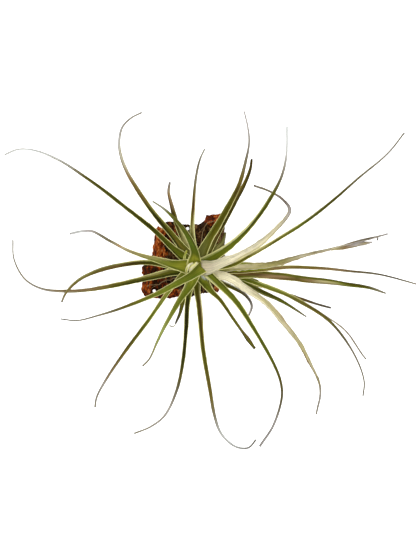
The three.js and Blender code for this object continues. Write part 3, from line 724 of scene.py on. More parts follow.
# Looks of the leaves: colour ramps along the middle and along the left and right flanks (places from
# foot to tip in percent), how wide the pale left and right margins are, how far out the middle colour
# reaches, and single marks (place along and across, reach along and across, colour, strength).
# Besides the blades' own colours, the flank ramps carry painted light and shade: the flank turned to the
# light is painted lighter and the other darker. A darker middle band is partly painted shade in the
# channel. The pale margins are partly the blades' own pale edges and partly painted highlight, wider
# on the lit side.
LOOKS = {
    "heart_leaf_1": (
        "0 milk 30 hem 80 milk 100 hem",
        "0 milk 80 hem 100 butter",
        "80 hem 100 butter", (0.2, 0.2), 0.5),
    "heart_leaf_2": (
        "35 milk 60 lime 100 butter",
        "0 milk 60 ivory 100 lime",
        "0 ivory 100 butter", (0.25, 0.25), 0.5),
    "leaf_01": (
        "0 spring 6 leaf 30 leaf 45 grass 56 khaki 70 ash 80 ash 88 smoke 100 slate",
        "0 spring 8 green 16 leaf 30 leaf 45 olive 60 khaki 75 ash 88 smoke 100 slate",
        "20 leaf 30 sage 45 bronze 60 khaki 75 ash 88 smoke 100 slate", (0.12, 0.08), 0.4),
    "leaf_02": (
        "5 lime 10 leaf 20 green 30 green 45 grass 60 olive 74 sage 84 lilac 100 ash",
        "0 lime 6 spring 14 leaf 30 green 40 sage 50 sage 65 lichen 80 sage 100 lichen",
        "0 lime 8 leaf 16 green 25 fern 40 moss 55 olive 75 lichen 86 willow 100 sage", (0.22, 0.1), 0.5),
    "dry_leaf_1": (
        "5 shell 14 ivory 35 ivory 50 cream 60 putty 68 lilac 78 mauve 92 smoke 100 mauve",
        "0 putty 10 ivory 40 ivory 55 cream 64 wheat 74 mauve 100 ash",
        "0 putty 10 ivory 25 cream 40 cream 52 wheat 60 tan 72 mauve 100 ash",
        (0.12, 0.06), 0.55, (0.05, -0.3, 0.05, 0.6, "mauve", 0.15), (0.33, -0.8, 0.12, 0.35, "straw", 0.7)),
    "leaf_03": (
        "8 lime 14 spring 24 sage 36 flax 48 tan 58 putty 66 smoke 75 ash 85 lilac 92 silver 100 lilac",
        "0 lime 6 spring 12 leaf 24 sage 34 sage 48 flax 60 tan 70 smoke 85 lilac 100 silver",
        "8 spring 16 leaf 24 flax 40 flax 55 tan 62 tan 72 smoke 85 lilac 100 silver",
        (0.1, 0.12), 0.45, (0.58, 0, 0.03, 0.9, "amber", 0.6)),
    "leaf_04": (
        "8 spring 16 leaf 40 leaf 50 sage 60 willow 72 willow 80 flax 90 ash",
        "0 spring 12 leaf 25 leaf 36 sage 50 sage 62 willow 80 sage 100 ash",
        "0 lime 10 willow 25 sage 40 sage 50 willow 70 willow 86 ash", (0.12, 0.15), 0.4),
    "leaf_05": (
        "0 spring 6 leaf 12 grass 22 grass 32 fern 42 fern 55 grass 64 khaki 76 smoke 86 lilac",
        "0 leaf 8 deep 18 fern 30 leaf 45 fern 60 khaki 80 smoke 100 slate",
        "0 ivory 6 pale 14 leaf 30 fern 45 fern 60 khaki 80 smoke 100 slate", (0.14, 0.18), 0.5),
    "leaf_06": (
        "0 leaf 10 grass 20 grass 30 fern 42 bottle 50 deep 60 moss 69 smoke 80 lilac 100 silver",
        "10 willow 16 pale 34 pale 45 sage 60 lichen 75 ash 85 silver",
        "0 leaf 10 grass 25 grass 36 olive 60 olive 72 ash 85 silver", (0.24, 0.1), 0.4),
    "leaf_07": (
        "0 spring 6 grass 14 fern 22 bottle 40 deep 50 deep 58 moss 65 ash 74 silver",
        "0 grass 8 bottle 18 deep 30 moss 45 khaki 60 smoke 78 ash 88 silver 100 lilac",
        "0 sage 8 olive 16 olive 25 moss 40 khaki 55 khaki 65 ash 85 lilac 100 ash", (0.1, 0.1), 0.5),
    "leaf_08": (
        "0 lime 10 leaf 20 olive 30 flax 38 bronze 46 chestnut 54 brown 62 bronze 75 ash 86 smoke 100 ash",
        "0 leaf 10 fern 28 grass 40 olive 50 bronze 65 smoke 85 ash 100 silver",
        "10 sage 22 pale 36 pale 46 rosy 60 ash 80 ash 100 silver", (0.14, 0.25), 0.45),
    "dry_leaf_2": (
        "25 ivory 34 wheat 42 wheat 50 cream 66 wheat 76 cream 84 tan 92 lilac 100 ash",
        "0 cream 12 ivory 24 cream 40 cream 60 wheat 75 wheat 90 ash",
        "35 ivory 50 cream 62 wheat 70 rosy 80 tan 95 ash",
        (0.05, 0.1), 0.5, (0.47, 0.6, 0.1, 0.4, "amber", 0.25)),
    # leaf_09's silver mark by its foot is partly its pale base and partly a painted highlight
    "leaf_09": (
        "8 willow 12 spring 17 grass 24 grass 34 moss 50 moss 65 olive 82 khaki 92 olive 100 moss",
        "11 silver 14 lichen 25 olive 60 olive 78 bronze 88 brown 100 moss",
        "12 grass 30 olive 50 moss 65 olive 80 khaki 100 smoke",
        (0.14, 0.1), 0.45, (0.065, 0.5, 0.06, 0.7, "silver", 1)),
    "leaf_10": (
        "8 lichen 16 olive 22 moss 42 moss 50 umber 58 bronze 70 ash 85 lilac",
        "0 flax 8 lichen 16 sage 24 olive 32 olive 45 lichen 55 bronze 70 ash 100 lilac",
        "0 lichen 10 olive 20 olive 30 moss 42 moss 55 brown 70 smoke 100 lilac", (0.1, 0.14), 0.4),
    "leaf_11": (
        "0 leaf 8 moss 16 umber 30 umber 42 moss 50 khaki 60 bronze 70 ash 78 silver 86 silver 100 smoke",
        "0 olive 8 flax 18 tan 26 bronze 40 olive 55 bronze 70 ash 82 silver 100 slate",
        "0 grass 10 olive 20 moss 28 lichen 42 olive 55 bronze 70 ash 82 lilac 100 slate",
        (0.14, 0.14), 0.45),
    "leaf_12": (
        "0 spring 12 sage 24 sage 36 grass 50 moss 58 khaki 68 bronze 78 rosy 86 lilac 100 ash",
        "12 leaf 25 grass 36 sage 50 olive 62 bronze 76 ash",
        "0 lime 12 flax 22 bronze 36 sage 50 khaki 62 bronze 76 ash", (0.14, 0.18), 0.45),
    "leaf_13": (
        "0 leaf 6 olive 13 bronze 20 moss 27 night 36 deep 43 brown "
        "52 bronze 58 rosy 66 putty 76 silver 90 lilac",
        "0 leaf 8 deep 15 bottle 30 night 40 deep 48 brown 56 rosy 66 tan 80 lilac 100 ash",
        "0 flax 10 olive 22 olive 32 lichen 45 bronze 56 tan 66 putty 80 ash", (0.12, 0.1), 0.3),
    "leaf_14": (
        "0 leaf 12 deep 18 moss 24 flax 32 olive 42 grass 54 bottle "
        "62 deep 70 khaki 80 ash 88 lilac 100 ash",
        "12 flax 24 straw 34 flax 45 lichen 60 khaki 80 ash",
        "36 olive 45 fern 60 khaki 80 smoke 100 slate", (0.24, 0.1), 0.35),
    "leaf_15": (
        "0 olive 15 lichen 22 khaki 30 brown 38 bottle 50 umber",
        "0 olive 20 khaki 30 brown 42 bronze 52 flax 62 bronze 75 bronze 88 khaki 100 umber",
        "0 olive 10 bronze 22 umber 40 umber 60 bottle 75 khaki 88 umber", (0.2, 0.08), 0.4),
    "dry_leaf_3": (
        "0 leaf 12 sage 16 flax 20 cream 28 wheat 36 flax 44 flax 52 putty 60 tan "
        "66 putty 72 tan 78 rosy 84 ash 90 smoke 95 ash 100 lilac",
        "0 leaf 17 sage 22 sage 27 wheat 34 flax 44 tan 54 putty "
        "64 putty 72 tan 80 lilac 90 mauve 100 lilac",
        "0 leaf 20 straw 34 straw 46 tan 60 putty 72 rosy 84 lilac 92 mauve 100 lilac",
        (0.06, 0.06), 0.5, (0.74, -0.2, 0.03, 0.9, "amber", 0.7)),
    "leaf_16": (
        "0 spring 12 leaf 20 moss 28 bottle 42 umber 52 brown 65 khaki 80 lichen 90 bronze 100 ash",
        "0 spring 13 sage 24 moss 40 umber 55 brown 70 bronze 85 rosy 100 ash",
        "13 willow 26 sage 38 flax 50 lichen 70 flax 85 flax 100 ash", (0.1, 0.2), 0.4),
    "leaf_17": (
        "0 leaf 8 grass 16 night 40 night 48 bottle 56 khaki 64 smoke 74 lilac 82 lilac 100 ash",
        "0 spring 12 sage 20 olive 28 bottle 44 bottle 52 moss 60 smoke 75 ash",
        "0 leaf 10 fern 18 bottle 30 deep 42 bottle 55 khaki 65 ash", (0.14, 0.14), 0.55),
    "leaf_18": (
        "0 spring 13 sage 25 flax 36 lichen 46 umber 60 umber 73 rosy 86 rosy 100 lilac",
        "0 spring 13 flax 24 flax 34 umber 46 moss 60 umber 75 brown 88 rosy 100 slate",
        "13 leaf 22 straw 38 straw 48 olive 60 bronze 75 rosy 90 tan 100 slate", (0.16, 0.2), 0.3),
    "leaf_19": (
        "0 umber 8 olive 14 moss 20 leaf 27 spring 33 rosy 42 bronze "
        "50 bronze 60 rosy 68 brown 75 smoke 88 umber 95 ash",
        "0 olive 10 spring 18 lime 27 lime 34 flax 44 bronze 54 bronze 65 rosy 76 smoke 88 umber 100 ash",
        "0 chestnut 12 umber 22 brown 45 brown 55 rosy 66 ash 88 smoke 100 ash", (0.14, 0.1), 0.45),
    "leaf_20": (
        "0 sage 20 willow 43 lichen 60 flax 80 lichen 100 moss",
        "0 flax 20 willow 40 olive 60 lichen 85 brown 100 khaki",
        "12 flax 26 lichen 45 olive 65 lichen 100 ash", (0.14, 0.14), 0.4),
    "leaf_21": (
        "0 leaf 10 olive 20 moss 36 moss 46 rosy 60 rosy 70 ash 80 ash 88 smoke 100 slate",
        "0 grass 8 deep 18 bottle 30 bottle 37 moss 45 bronze 60 ash 75 lilac 90 ash 100 smoke",
        "0 sage 8 lichen 18 flax 28 lichen 38 bronze 50 rosy 70 ash 82 ash 100 smoke", (0.1, 0.2), 0.3),
    "leaf_22": (
        "0 moss 12 chestnut 20 brown 30 brown 36 rosy 44 rosy 50 khaki "
        "58 rosy 66 wheat 74 sage 80 moss 90 moss 100 ash",
        "0 spring 10 leaf 16 umber 26 brown 36 olive 70 olive 80 moss 88 moss 100 ash",
        "0 umber 12 brown 20 olive 28 lichen 37 rosy 46 brown 54 bronze "
        "64 tan 72 tan 80 sage 90 sage 100 ash", (0.08, 0.1), 0.3, (0.17, 0.5, 0.05, 0.6, "chestnut", 0.6)),
    "leaf_23": (
        "50 leaf 70 willow 85 willow 100 olive",
        "0 olive 50 grass 70 lichen 100 olive",
        "0 olive 55 sage 70 olive 100 lichen", (0.1, 0.16), 0.4),
    "leaf_24": (
        "35 leaf 50 grass 62 moss 80 moss 100 slate",
        "0 leaf 50 sage 65 moss 100 slate",
        "40 leaf 60 moss 100 slate", (0.12, 0.16), 0.45),
    "leaf_25": (
        "14 leaf 22 grass 33 leaf 43 olive 52 khaki 62 olive 72 smoke 80 mauve 88 smoke 100 slate",
        "20 pale 30 willow 42 flax 54 brown 65 khaki 80 ash 100 smoke",
        "0 leaf 20 grass 32 olive 43 khaki 55 bronze 68 smoke 100 ash", (0.18, 0.1), 0.35),
    "leaf_26": (
        "30 leaf 42 grass 52 deep 66 deep 75 fern 85 olive 100 ash",
        "42 flax 52 moss 66 moss 80 olive 100 smoke",
        "0 flax 42 straw 54 lichen 70 lichen 85 olive 100 smoke", (0.14, 0.14), 0.4),
    "dry_leaf_4": (
        "0 tan 40 flax 60 bronze 80 brown 100 slate",
        "0 tan 60 bronze 80 brown 100 slate",
        "0 tan 60 khaki 80 smoke 100 slate", (0.05, 0.05), 0.5),
    "dry_leaf_5": (
        "0 tan 30 bronze 44 tan 52 cream 66 cream 85 mauve 100 ash",
        "0 tan 45 bronze 58 tan 75 lilac 100 ash",
        "0 tan 45 khaki 58 tan 75 tan 100 ash", (0.05, 0.05), 0.5),
    "leaf_27": (
        "20 fern 34 moss 50 moss 62 smoke 75 slate 90 lilac 100 mauve",
        "0 leaf 20 sage 35 lilac 50 silver 65 lilac 90 mauve 100 smoke",
        "0 fern 30 grass 44 moss 60 moss 75 smoke 90 lilac 100 mauve", (0.16, 0.1), 0.5),
    "torn_half": (
        "0 wheat 20 tan 35 rosy 60 lilac 85 tan 100 lilac",
        "0 cream 50 lilac",
        "0 wheat 30 rosy 60 tan 100 lilac", (0.06, 0.06), 0.5),
    "torn_hook": (
        "0 lilac 50 mauve 100 slate",
        "0 lilac 100 slate",
        "0 lilac 100 slate", (0.05, 0.05), 0.5),
    "young_tip": (
        "0 lime 50 willow 80 lime",
        "0 butter 60 lime 100 butter",
        "0 lime 60 willow 100 lime", (0.25, 0.15), 0.4),
    "curled_tip": ("0 slate 100 slate", "0 slate 100 ash", "0 slate 100 ash", (0.05, 0.05), 0.5),
}

# Noise on the blades: its steps per millimetre along and across, its detail and its roughness.
# NERVES is in radians per millimetre across, and a surface is its roughness and its gloss.
LIVE_SURFACE = (0.65, 0.08)
DRY_SURFACE = (0.75, 0.05)
LIVE_BUMP = 0.3
DRY_BUMP = 0.5
BUMP_DEPTH = 0.12
DRIFT = (0.06, 0.3, 2)
STREAKS = (0.05, 1.4, 4, 0.75)
SPOTS = (0.9, 1.6, 3, 0.6)
SCALES = (2.2, 5)
NERVES = 12
NERVE_WANDER = 4
DRIFT_SHIFT = 0.12
BAND_FRAY = 0.45
BAND_SOFTNESS = 0.15
STREAK_SHADES = (0.58, 1.42)
NERVE_SHADES = (0.94, 1.05)
SPOT_STRENGTH = 0.45
SILVER_BELOW = 0.3


def margin(s, u, width):
    return s.range(u, 1 - width * 1.5, 1 - width * 0.8)


def marked(s, colour, q, u, drift, mark):
    """The colour with one mark on it, whose edge wanders with the drift"""
    mark_q, mark_u, reach_q, reach_u, paint, strength = mark
    off_q = (q - mark_q) / reach_q
    off_u = (u - mark_u) / reach_u
    return s.blend(s.range(off_q * off_q + off_u * off_u + drift, 1.6, 0.7, 0.0, strength), colour, paint)


def leaf_material(spec):
    """Paint of the middle and of the flanks, with marks, margins, streaks, nerves and silvery scales. The
    flanks, the middle band and the margins also carry painted light and shade.
    """
    mid, left, right, margins, band, *marks = LOOKS[spec["name"]]
    dry = spec["tone"] == "dry"
    s = Shader(spec["name"], *(DRY_SURFACE if dry else LIVE_SURFACE))
    q, u, below = s.attribute("blade")
    along, across, _ = s.attribute("blade_mm")

    def stretched(along_scale, across_scale):
        return s.vector(along * along_scale, across * across_scale, below)

    def blotches(along_scale, across_scale, *quality):
        return s.noise(stretched(along_scale, across_scale), 1, *quality)

    drift = blotches(*DRIFT)
    streak = blotches(*STREAKS)
    place = q + (drift - 0.5) * DRIFT_SHIFT
    reach = s.math("ABSOLUTE", u) + (streak - 0.5) * BAND_FRAY
    # The flank ramps paint the flank turned to the light lighter and the other darker, as painted light and
    # shade; a darker middle is partly painted shade in the groove
    flanks = s.blend(s.range(u, -0.05, 0.05), s.ramp(place, right), s.ramp(place, left))
    colour = s.blend(s.range(reach, band - BAND_SOFTNESS, band + BAND_SOFTNESS), s.ramp(place, mid), flanks)
    for mark in marks:
        colour = marked(s, colour, q, u, drift, mark)
    # Pale margins: partly the blade's own pale edge and partly a painted highlight, wider on the lit side
    edge = s.math("MAXIMUM", margin(s, u, margins[0]), margin(s, u * -1, margins[1]))
    edge = edge * s.range(q, 0.7, 0.35, 0.0, 0.95) * s.range(drift, 0.3, 0.6, 0.4, 1.0)
    colour = s.blend(edge, colour, "ivory" if dry else "hem")
    nerve = s.math("SINE", across * NERVES + drift * NERVE_WANDER)
    colour = s.shaded(colour, streak, STREAK_SHADES)
    colour = s.shaded(colour, nerve * 0.5 + 0.5, NERVE_SHADES)
    if dry:
        colour = s.blend(s.range(blotches(*SPOTS), 0.56, 0.72, 0.0, SPOT_STRENGTH), colour, "mauve")
    scales = s.add("ShaderNodeTexVoronoi", {"Vector": stretched(*SCALES), "Scale": 1})
    colour = s.blend(s.range(scales, 0.4, 0.1) * (below * SILVER_BELOW), colour, "silver")
    relief = nerve * 0.5 + (scales * -0.6 + streak)
    return s.finish(colour, relief, DRY_BUMP if dry else LIVE_BUMP, BUMP_DEPTH)


def add_leaves():
    for seed, spec in enumerate(LEAVES + SHREDS, LEAF_SEED):
        piece = leaf_piece(Leaf(spec, seed), leaf_material(spec))
        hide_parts(spec.get("of", spec["name"]))
        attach(piece, "root")
        "leaf_" + spec["tone"]


# Bark


def fractal(places, size, octaves):
    """Fractal noise of places whose broadest bumps are about this size"""
    return np.array([noise.fractal(Vector(p), 1.0, 2.0, octaves) for p in places / size])


def ridged(places, size, octaves):
    """1 on the sharp crests of a broken surface, and below 0 in its hollows"""
    return 1 - RIDGE_SHARPNESS * np.abs(fractal(places, size, octaves))


def layer(form, places, height, stretch, size, octaves):
    return height * form(places * stretch, size, octaves)


def warped(places, size, by):
    """The places pushed about by fractal noise, so that what is built on them turns irregular"""
    push = [fractal(places + offset, size, 3) for offset in ([0, 0, 0], [31, 0, 0], [0, 47, 0])]
    return places + by * np.column_stack(push)


def patches(spots, x, y):
    return clamp01(sum(amount * hill(x, y, at, reach) for at, reach, amount in spots))


def bark_height(x, y):
    height = np.full(len(x), float(BARK_THICKNESS))
    for along_x, along_y, phase in BARK_WAVES:
        height += BARK_WAVE_HEIGHT * np.sin(along_x * x + along_y * y + phase) / len(BARK_WAVES)
    for at, reach, swell in BARK_SWELLS:
        height += swell * hill(x, y, at, reach)
    return height


def bark_reach(angles):
    """How far the outline lies from the middle of the bark in each direction"""
    corners = np.array(BARK_OUTLINE, float) - BARK_MIDDLE
    turns = np.arctan2(corners[:, 1], corners[:, 0]) % TURN
    corners = corners[np.argsort(turns)]
    after = np.searchsorted(np.sort(turns), angles, side="right") % len(corners)
    start = corners[after - 1]
    edge = corners[after] - start
    slant = np.cos(angles) * edge[:, 1] - np.sin(angles) * edge[:, 0]
    return (start[:, 0] * edge[:, 1] - start[:, 1] * edge[:, 0]) / slant


def bark_relief(places):
    """Fine height of each place over the broad form, and how rusty and how lumpy the bark is there"""
    x, y = places[:, 0], places[:, 1]
    bent = warped(places, WARP_BUMPS, WARP)
    fray = RUST_FRAY * fractal(places, 6, 3)
    rust = clamp01(patches(RUST_PATCHES, x, y) * RUST_SPREAD + fray - RUST_THRESHOLD)
    lumpy = patches(LUMPY_PATCHES, x, y)
    fibres = layer(ridged, bent, *COARSE_FIBRES) + layer(ridged, bent, *FINE_FIBRES)
    chunks = layer(fractal, bent, *BROAD_CHUNKS) + layer(ridged, bent, *CHUNK_RIDGES)
    rough = mix(mix(layer(ridged, bent, *CRUMBS), fibres, smooth(0.1, 0.7, rust)), chunks, lumpy)
    rough = rough + CRUMB_RISE * patches(CRUMB_PATCHES, x, y)
    return rough + layer(fractal, places, *GRIT), rust, lumpy


def bark_points():
    rows = BARK_TOP_RINGS + BARK_SIDE_RINGS + BARK_BACK_RINGS
    row, sector = (part.ravel() for part in np.mgrid[1:rows, 0:BARK_SECTORS])
    angle = sector * TURN / BARK_SECTORS
    ring = np.column_stack([np.cos(angle), np.sin(angle)]) * BARK_RADIUS
    top_part = row / BARK_TOP_RINGS
    side_part = (row - BARK_TOP_RINGS) / BARK_SIDE_RINGS
    on_top = row <= BARK_TOP_RINGS
    on_back = row >= rows - BARK_BACK_RINGS
    jagged = fractal(np.column_stack([ring, np.zeros(len(ring))]), *BARK_EDGE_BUMPS)
    edge = bark_reach(angle) + BARK_EDGE_ROUGHNESS * jagged
    wall = fractal(np.column_stack([ring, BARK_WALL_DEPTH * side_part]), *BARK_WALL_BUMPS)
    side = edge + BARK_EDGE_ROUGHNESS * wall * np.sin(math.pi * clamp01(side_part))
    back = (edge - BARK_BACK_INSET) * (rows - row) / BARK_BACK_RINGS
    reach = np.where(on_top, edge * np.minimum(top_part, 1) ** BARK_RING_CROWDING, side)
    reach = np.where(on_back, back, reach)
    x = BARK_MIDDLE[0] + reach * np.cos(angle)
    y = BARK_MIDDLE[1] + reach * np.sin(angle)
    broad = bark_height(x, y)
    depth = np.where(on_top, 0, -BARK_RELIEF_DEPTH * clamp01(side_part))
    relief = bark_relief(np.column_stack([x, y, depth]))[0]
    rim = np.maximum(BARK_RIM_LEAST, broad * BARK_RIM_SHARE)
    top = mix(broad, rim, smooth(BARK_RIM_FROM, 1, top_part))
    top = top + relief * (1 - (1 - BARK_RIM_ROUGHNESS) * smooth(BARK_SOFT_FROM, 1, top_part))
    wall_height = (rim + BARK_RIM_ROUGHNESS * relief) * (1 - side_part)
    return np.column_stack([x, y, np.where(on_top, top, np.where(on_back, 0, wall_height))])


def bark_mesh():
    """The rings of points from the middle of the rough top over the sides to the middle of the flat back"""
    points = bark_points()
    count = BARK_SECTORS
    top = len(points)
    last = top - count
    around = [(k, (k + 1) % count) for k in range(count)]
    faces = [(i + a, i + count + a, i + count + b, i + b) for i in range(0, last, count) for a, b in around]
    faces += [(top, a, b) for a, b in around]
    faces += [(top + 1, last + b, last + a) for a, b in around]
    middle = np.array([[*BARK_MIDDLE, points[:count, 2].mean()], [*BARK_MIDDLE, 0]])
    return mesh_object("bark_slab", np.vstack([points, middle]), faces)


def cylinder(name, diameter, sides, x, y, foot):
    ring = [x, y] + diameter / 2 * circle(sides)
    low = np.column_stack([ring, np.full(sides, foot)])
    faces = [(k, (k + 1) % sides, sides + (k + 1) % sides, sides + k) for k in range(sides)]
    faces += [tuple(range(sides - 1, -1, -1)), tuple(range(sides, 2 * sides))]
    return mesh_object(name, np.vstack([low, low + UP * ABOVE_ALL]), faces)


def cut(piece, tool):
    change = piece.modifiers.new("cut", "BOOLEAN")
    change.operation = "DIFFERENCE"
    change.solver = "MANIFOLD"
    change.object = tool
    settled = bpy.data.meshes.new_from_object(piece.evaluated_get(bpy.context.evaluated_depsgraph_get()))
    piece.modifiers.clear()
    piece.data = settled
    bpy.data.objects.remove(tool)


def bark_material():
    """Dark fibrous bark, with rust and orange where it is weathered, painted darker in its hollows as painted
    shade and lighter on its crests as painted highlight
    """
    s = Shader("bark", 0.85, 0.06)
    relief, rust, lumpy = s.attribute("bark")
    place = s.place()
    x, y, z = s.apart(place)
    broad = s.noise(place, 0.11, 2)
    grain = s.noise(s.vector(x, y * 0.35, z), 0.4, 4, 0.7)
    specks = s.noise(place, 1.1, 4, 0.6)
    # The relief term paints shade into the hollows and highlight onto the crests; the rest of the level is
    # the bark's own grain, specks and patches
    level = relief * 0.17 + (grain * 1.9 - 0.6) + (specks - 0.5) * 0.5 + (broad - 0.5) * 0.7 - lumpy * 0.19
    dark = s.ramp(level, "15 soot 36 char 50 umbra 64 husky 86 dust")
    warm = s.ramp(level, "0 char 15 oxblood 36 rust 57 orange 82 peach")
    share = rust + lumpy * 0.25 + (specks - 0.5) * 0.8
    colour = s.blend(s.range(share, 0.25, 0.65), dark, warm)
    return s.finish(colour, grain + specks * 0.6, 0.8, 0.5)


def add_bark():
    piece = bark_mesh()
    for number, (x, y) in enumerate(WIRE_HOLES):
        cut(piece, cylinder(f"drill_{number}", WIRE_HOLE_DIAMETER, WIRE_HOLE_SIDES, x, y, -ABOVE_ALL / 2))
    cut(piece, cylinder("seat", STEM_SEAT_DIAMETER, STEM_SEAT_SIDES, 0, 0, STEM_SEAT_FLOOR))
    mesh = piece.data
    places = np.empty(len(mesh.vertices) * 3)
    mesh.vertices.foreach_get("co", places)
    # The relief stored here also sets the painted shade in the bark's hollows and the painted highlight on
    # its crests
    add_vector(mesh, "bark", np.column_stack(bark_relief(places.reshape(-1, 3) / MM)))
    mesh.materials.clear()
    mesh.materials.append(bark_material())
    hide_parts("bark")
    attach(piece, "root")
    return piece


# Stem, roots and old leaf bases


class Ground:
    """The height of the bark under a place"""

    def __init__(self, piece):
        points = [v.co / MM for v in piece.data.vertices]
        self.tree = BVHTree.FromPolygons(points, [tuple(p.vertices) for p in piece.data.polygons])

    def height(self, x, y):
        hit = self.tree.ray_cast(Vector((x, y, ABOVE_ALL)), Vector((0, 0, -1)))[0]
        return hit.z if hit else 0.0


def tube(points, radii, sides):
    """Rings of points round a line, and the faces between them"""
    along = unit(np.gradient(points, axis=0))
    level = unit(np.cross(along, UP) + [1e-6, 0, 0])
    over = np.cross(level, along)
    around = circle(sides)
    ring = level[:, None] * around[:, :1] + over[:, None] * around[:, 1:]
    rings = points[:, None] + ring * np.linspace(*radii, len(points))[:, None, None]
    return rings.reshape(-1, 3), loft_faces(len(points), sides)


def join(name, parts, material):
    points, faces = [], []
    for part_points, part_faces in parts:
        faces += [tuple(len(points) + v for v in face) for face in part_faces]
        points += list(part_points)
    piece = mesh_object(name, np.array(points), faces)
    piece.data.materials.append(material)
    return piece


def root_line(route, ground, rng, radius, wander):
    """Points of a root that lies on the bark, from the stem outwards"""
    curve = Route(route)
    q = np.linspace(0, 1, max(ROOT_POINTS_LEAST, int(curve.length / ROOT_STEP)))
    drift = np.column_stack([waves(rng, *ROOT_WANDER)(q * curve.length) for _ in range(2)])
    flat = curve.share(q) + wander * drift * smooth(0, 0.15, q)[:, None]
    heights = np.array([ground.height(x, y) for x, y in flat]) + radius * ROOT_LIFT
    window = np.ones(ROOT_SMOOTHING) / ROOT_SMOOTHING
    softened = np.convolve(np.pad(heights, ROOT_SMOOTHING // 2, mode="edge"), window, mode="valid")
    return np.column_stack([flat, np.maximum(softened, heights - ROOT_BITE)])


def branch_line(line, ground, rng):
    """Points of a short branch that leaves a root somewhere along its middle"""
    start = line[int(len(line) * rng.uniform(0.2, 0.8))][:2]
    turn = rng.uniform(0, TURN)
    step = np.array([math.cos(turn), math.sin(turn)])
    bend = np.array([-step[1], step[0]]) * rng.uniform(-2, 2)
    route = [start, start + 3 * step, start + 6 * step + bend, start + 8 * step + 2 * bend]
    return root_line(route, ground, rng, BRANCH_SEAT_RADIUS, BRANCH_WANDER_SIZE)


def root_parts(ground):
    parts = []
    rng = np.random.default_rng(ROOT_SEED)
    for route in ROOTS:
        line = root_line(route, ground, rng, ROOT_RADII[0], ROOT_WANDER_SIZE)
        line[0] = [*(line[0][:2] * 0.5), ROOT_START]
        parts.append(tube(line, ROOT_RADII, ROOT_SIDES))
        for _ in range(BRANCHES):
            branch = branch_line(line, ground, rng)
            if branch[:, 2].min() > BRANCH_LOWEST:
                parts.append(tube(branch, BRANCH_RADII, BRANCH_SIDES))
    return parts


def stem_part():
    around = circle(STEM_SIDES)
    rings = []
    for z in np.linspace(STEM_FOOT, STEM_TOP, STEM_ROWS):
        scar = SCAR_DEPTH * math.sin(TURN * z / SCAR_SPACING)
        radius = stem_radius(z) + CROWN_SWELL * smooth(*CROWN_HEIGHTS, z) + scar
        bumps = fractal(np.column_stack([around * 3, np.full(STEM_SIDES, z / 4)]), 1.0, 3)
        ring = around * (radius + STEM_ROUGHNESS * bumps)[:, None]
        rings.append(np.column_stack([ring, np.full(STEM_SIDES, z)]))
    return np.vstack(rings), loft_faces(STEM_ROWS, STEM_SIDES)


def old_base_part(direction, foot, tall, rng):
    """A dry leaf base that stands off the stem, with a frayed edge"""
    q = np.linspace(0, 1, SHEATH_ROWS)[:, None]
    u = np.linspace(-1, 1, SHEATH_COLUMNS)
    z = foot - SHEATH_SUNK + q * (tall * (1 + waves(rng, *SHEATH_FRAY)(u)))
    base = np.array([stem_radius(h) for h in z[:, SHEATH_COLUMNS // 2]])[:, None]
    outer = base + SHEATH_EDGE + SHEATH_FLARE * q ** 2 * (1 + waves(rng, *SHEATH_CURL)(u))
    half = (SHEATH_NARROWEST + (SHEATH_WIDTH / 2 - SHEATH_NARROWEST) * (1 - q ** 3)) / outer
    angle = math.radians(direction) + u * half
    over, under = (np.stack([radius * np.cos(angle), radius * np.sin(angle), z], axis=-1)
                   for radius in (outer, outer - mix(*SHEATH_THICKNESS, q)))
    points = np.concatenate([under, over[:, ::-1]], axis=1).reshape(-1, 3)
    return points, loft_faces(len(q), 2 * len(u))


def fibre_material(name, colours):
    s = Shader(name, 0.8, 0.2)
    fibres = s.fibres()
    colour = s.ramp(fibres * 0.7 + s.noise(s.place(), 0.5, 3) * 0.5, colours)
    return s.finish(colour, fibres, 0.6, 0.3)


def stem_material():
    """Brown wood below, and the pale young tissue of the crown above"""
    s = Shader("stem_wood", 0.7, 0.1)
    fibres = s.fibres()
    wood = s.ramp(fibres, "30 char 50 wood 70 husk")
    young = s.ramp(fibres, "30 spring 50 lime 70 butter")
    height = s.apart(s.place())[2]
    return s.finish(s.blend(s.range(height, 26, 36), wood, young), fibres, 0.5, 0.3)


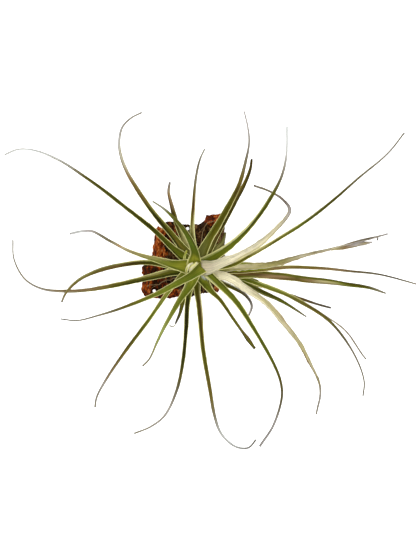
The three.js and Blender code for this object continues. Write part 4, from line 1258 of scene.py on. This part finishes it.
def add_stem(ground):
    rng = np.random.default_rng(SHEATH_SEED)
    stem = join("stem_wood", [stem_part()], stem_material())
    roots = join("roots", root_parts(ground), fibre_material("roots", "30 wood 60 root 85 tan"))
    base_paint = fibre_material("old_leaf_bases", "30 brown 60 husk 85 straw")
    bases = join("old_leaf_bases", [old_base_part(*sheath, rng) for sheath in SHEATHS], base_paint)
    for piece in (stem, roots, bases):
        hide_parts("stem")
        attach(piece, "root")


# Studio, in metres; lights are given as name, place, size and power

CAMERA_PLACE = (0.0096, -0.002, 1.835)
CAMERA_LENS = 150
SENSOR = 36
NEAREST = 0.05
FLOOR_SIZE = 6
FLOOR_GLOW = 0.9
SKY = 0.22
LIGHTS = [("key", (-0.6, 0.75, 1.5), 0.6, 11), ("top", (0.1, -0.2, 2.4), 0.6, 29)]
WHITE = (1, 1, 1, 1)


def add_camera():
    data = bpy.data.cameras.new("camera")
    data.lens = CAMERA_LENS
    data.sensor_width = SENSOR
    data.clip_start = NEAREST
    camera = add_object("camera", data)
    camera.location = CAMERA_PLACE
    bpy.context.scene.camera = camera


def add_light(name, place, size, power):
    data = bpy.data.lights.new(name, "AREA")
    data.shape = "DISK"
    data.size = size
    data.energy = power
    light = add_object(name, data)
    light.location = place
    light.rotation_euler = Vector(place).to_track_quat("Z", "Y").to_euler()


def add_floor():
    half = FLOOR_SIZE / 2 / MM
    corners = [(-half, -half, 0), (half, -half, 0), (half, half, 0), (-half, half, 0)]
    floor = mesh_object("floor", corners, [(0, 1, 2, 3)])
    s = Shader("floor", 0.9, 0.1)
    soft = s.noise(s.place(), 0.003, 2)
    colour = s.blend(soft, (0.8, 0.8, 0.8, 1), (0.84, 0.84, 0.84, 1))
    s.surface.inputs["Emission Color"].default_value = WHITE
    s.surface.inputs["Emission Strength"].default_value = FLOOR_GLOW
    floor.data.materials.append(s.finish(colour, soft, 0.1, 0.1))


def add_world():
    world = bpy.data.worlds.new("studio")
    world.use_nodes = True
    background = world.node_tree.nodes["Background"]
    background.inputs["Color"].default_value = WHITE
    background.inputs["Strength"].default_value = SKY
    bpy.context.scene.world = world


add_camera()
add_world()
add_floor()
for light in LIGHTS:
    add_light(*light)
bpy.context.scene.view_settings.view_transform = "Standard"

add_leaves()
bark = add_bark()
add_stem(Ground(bark))
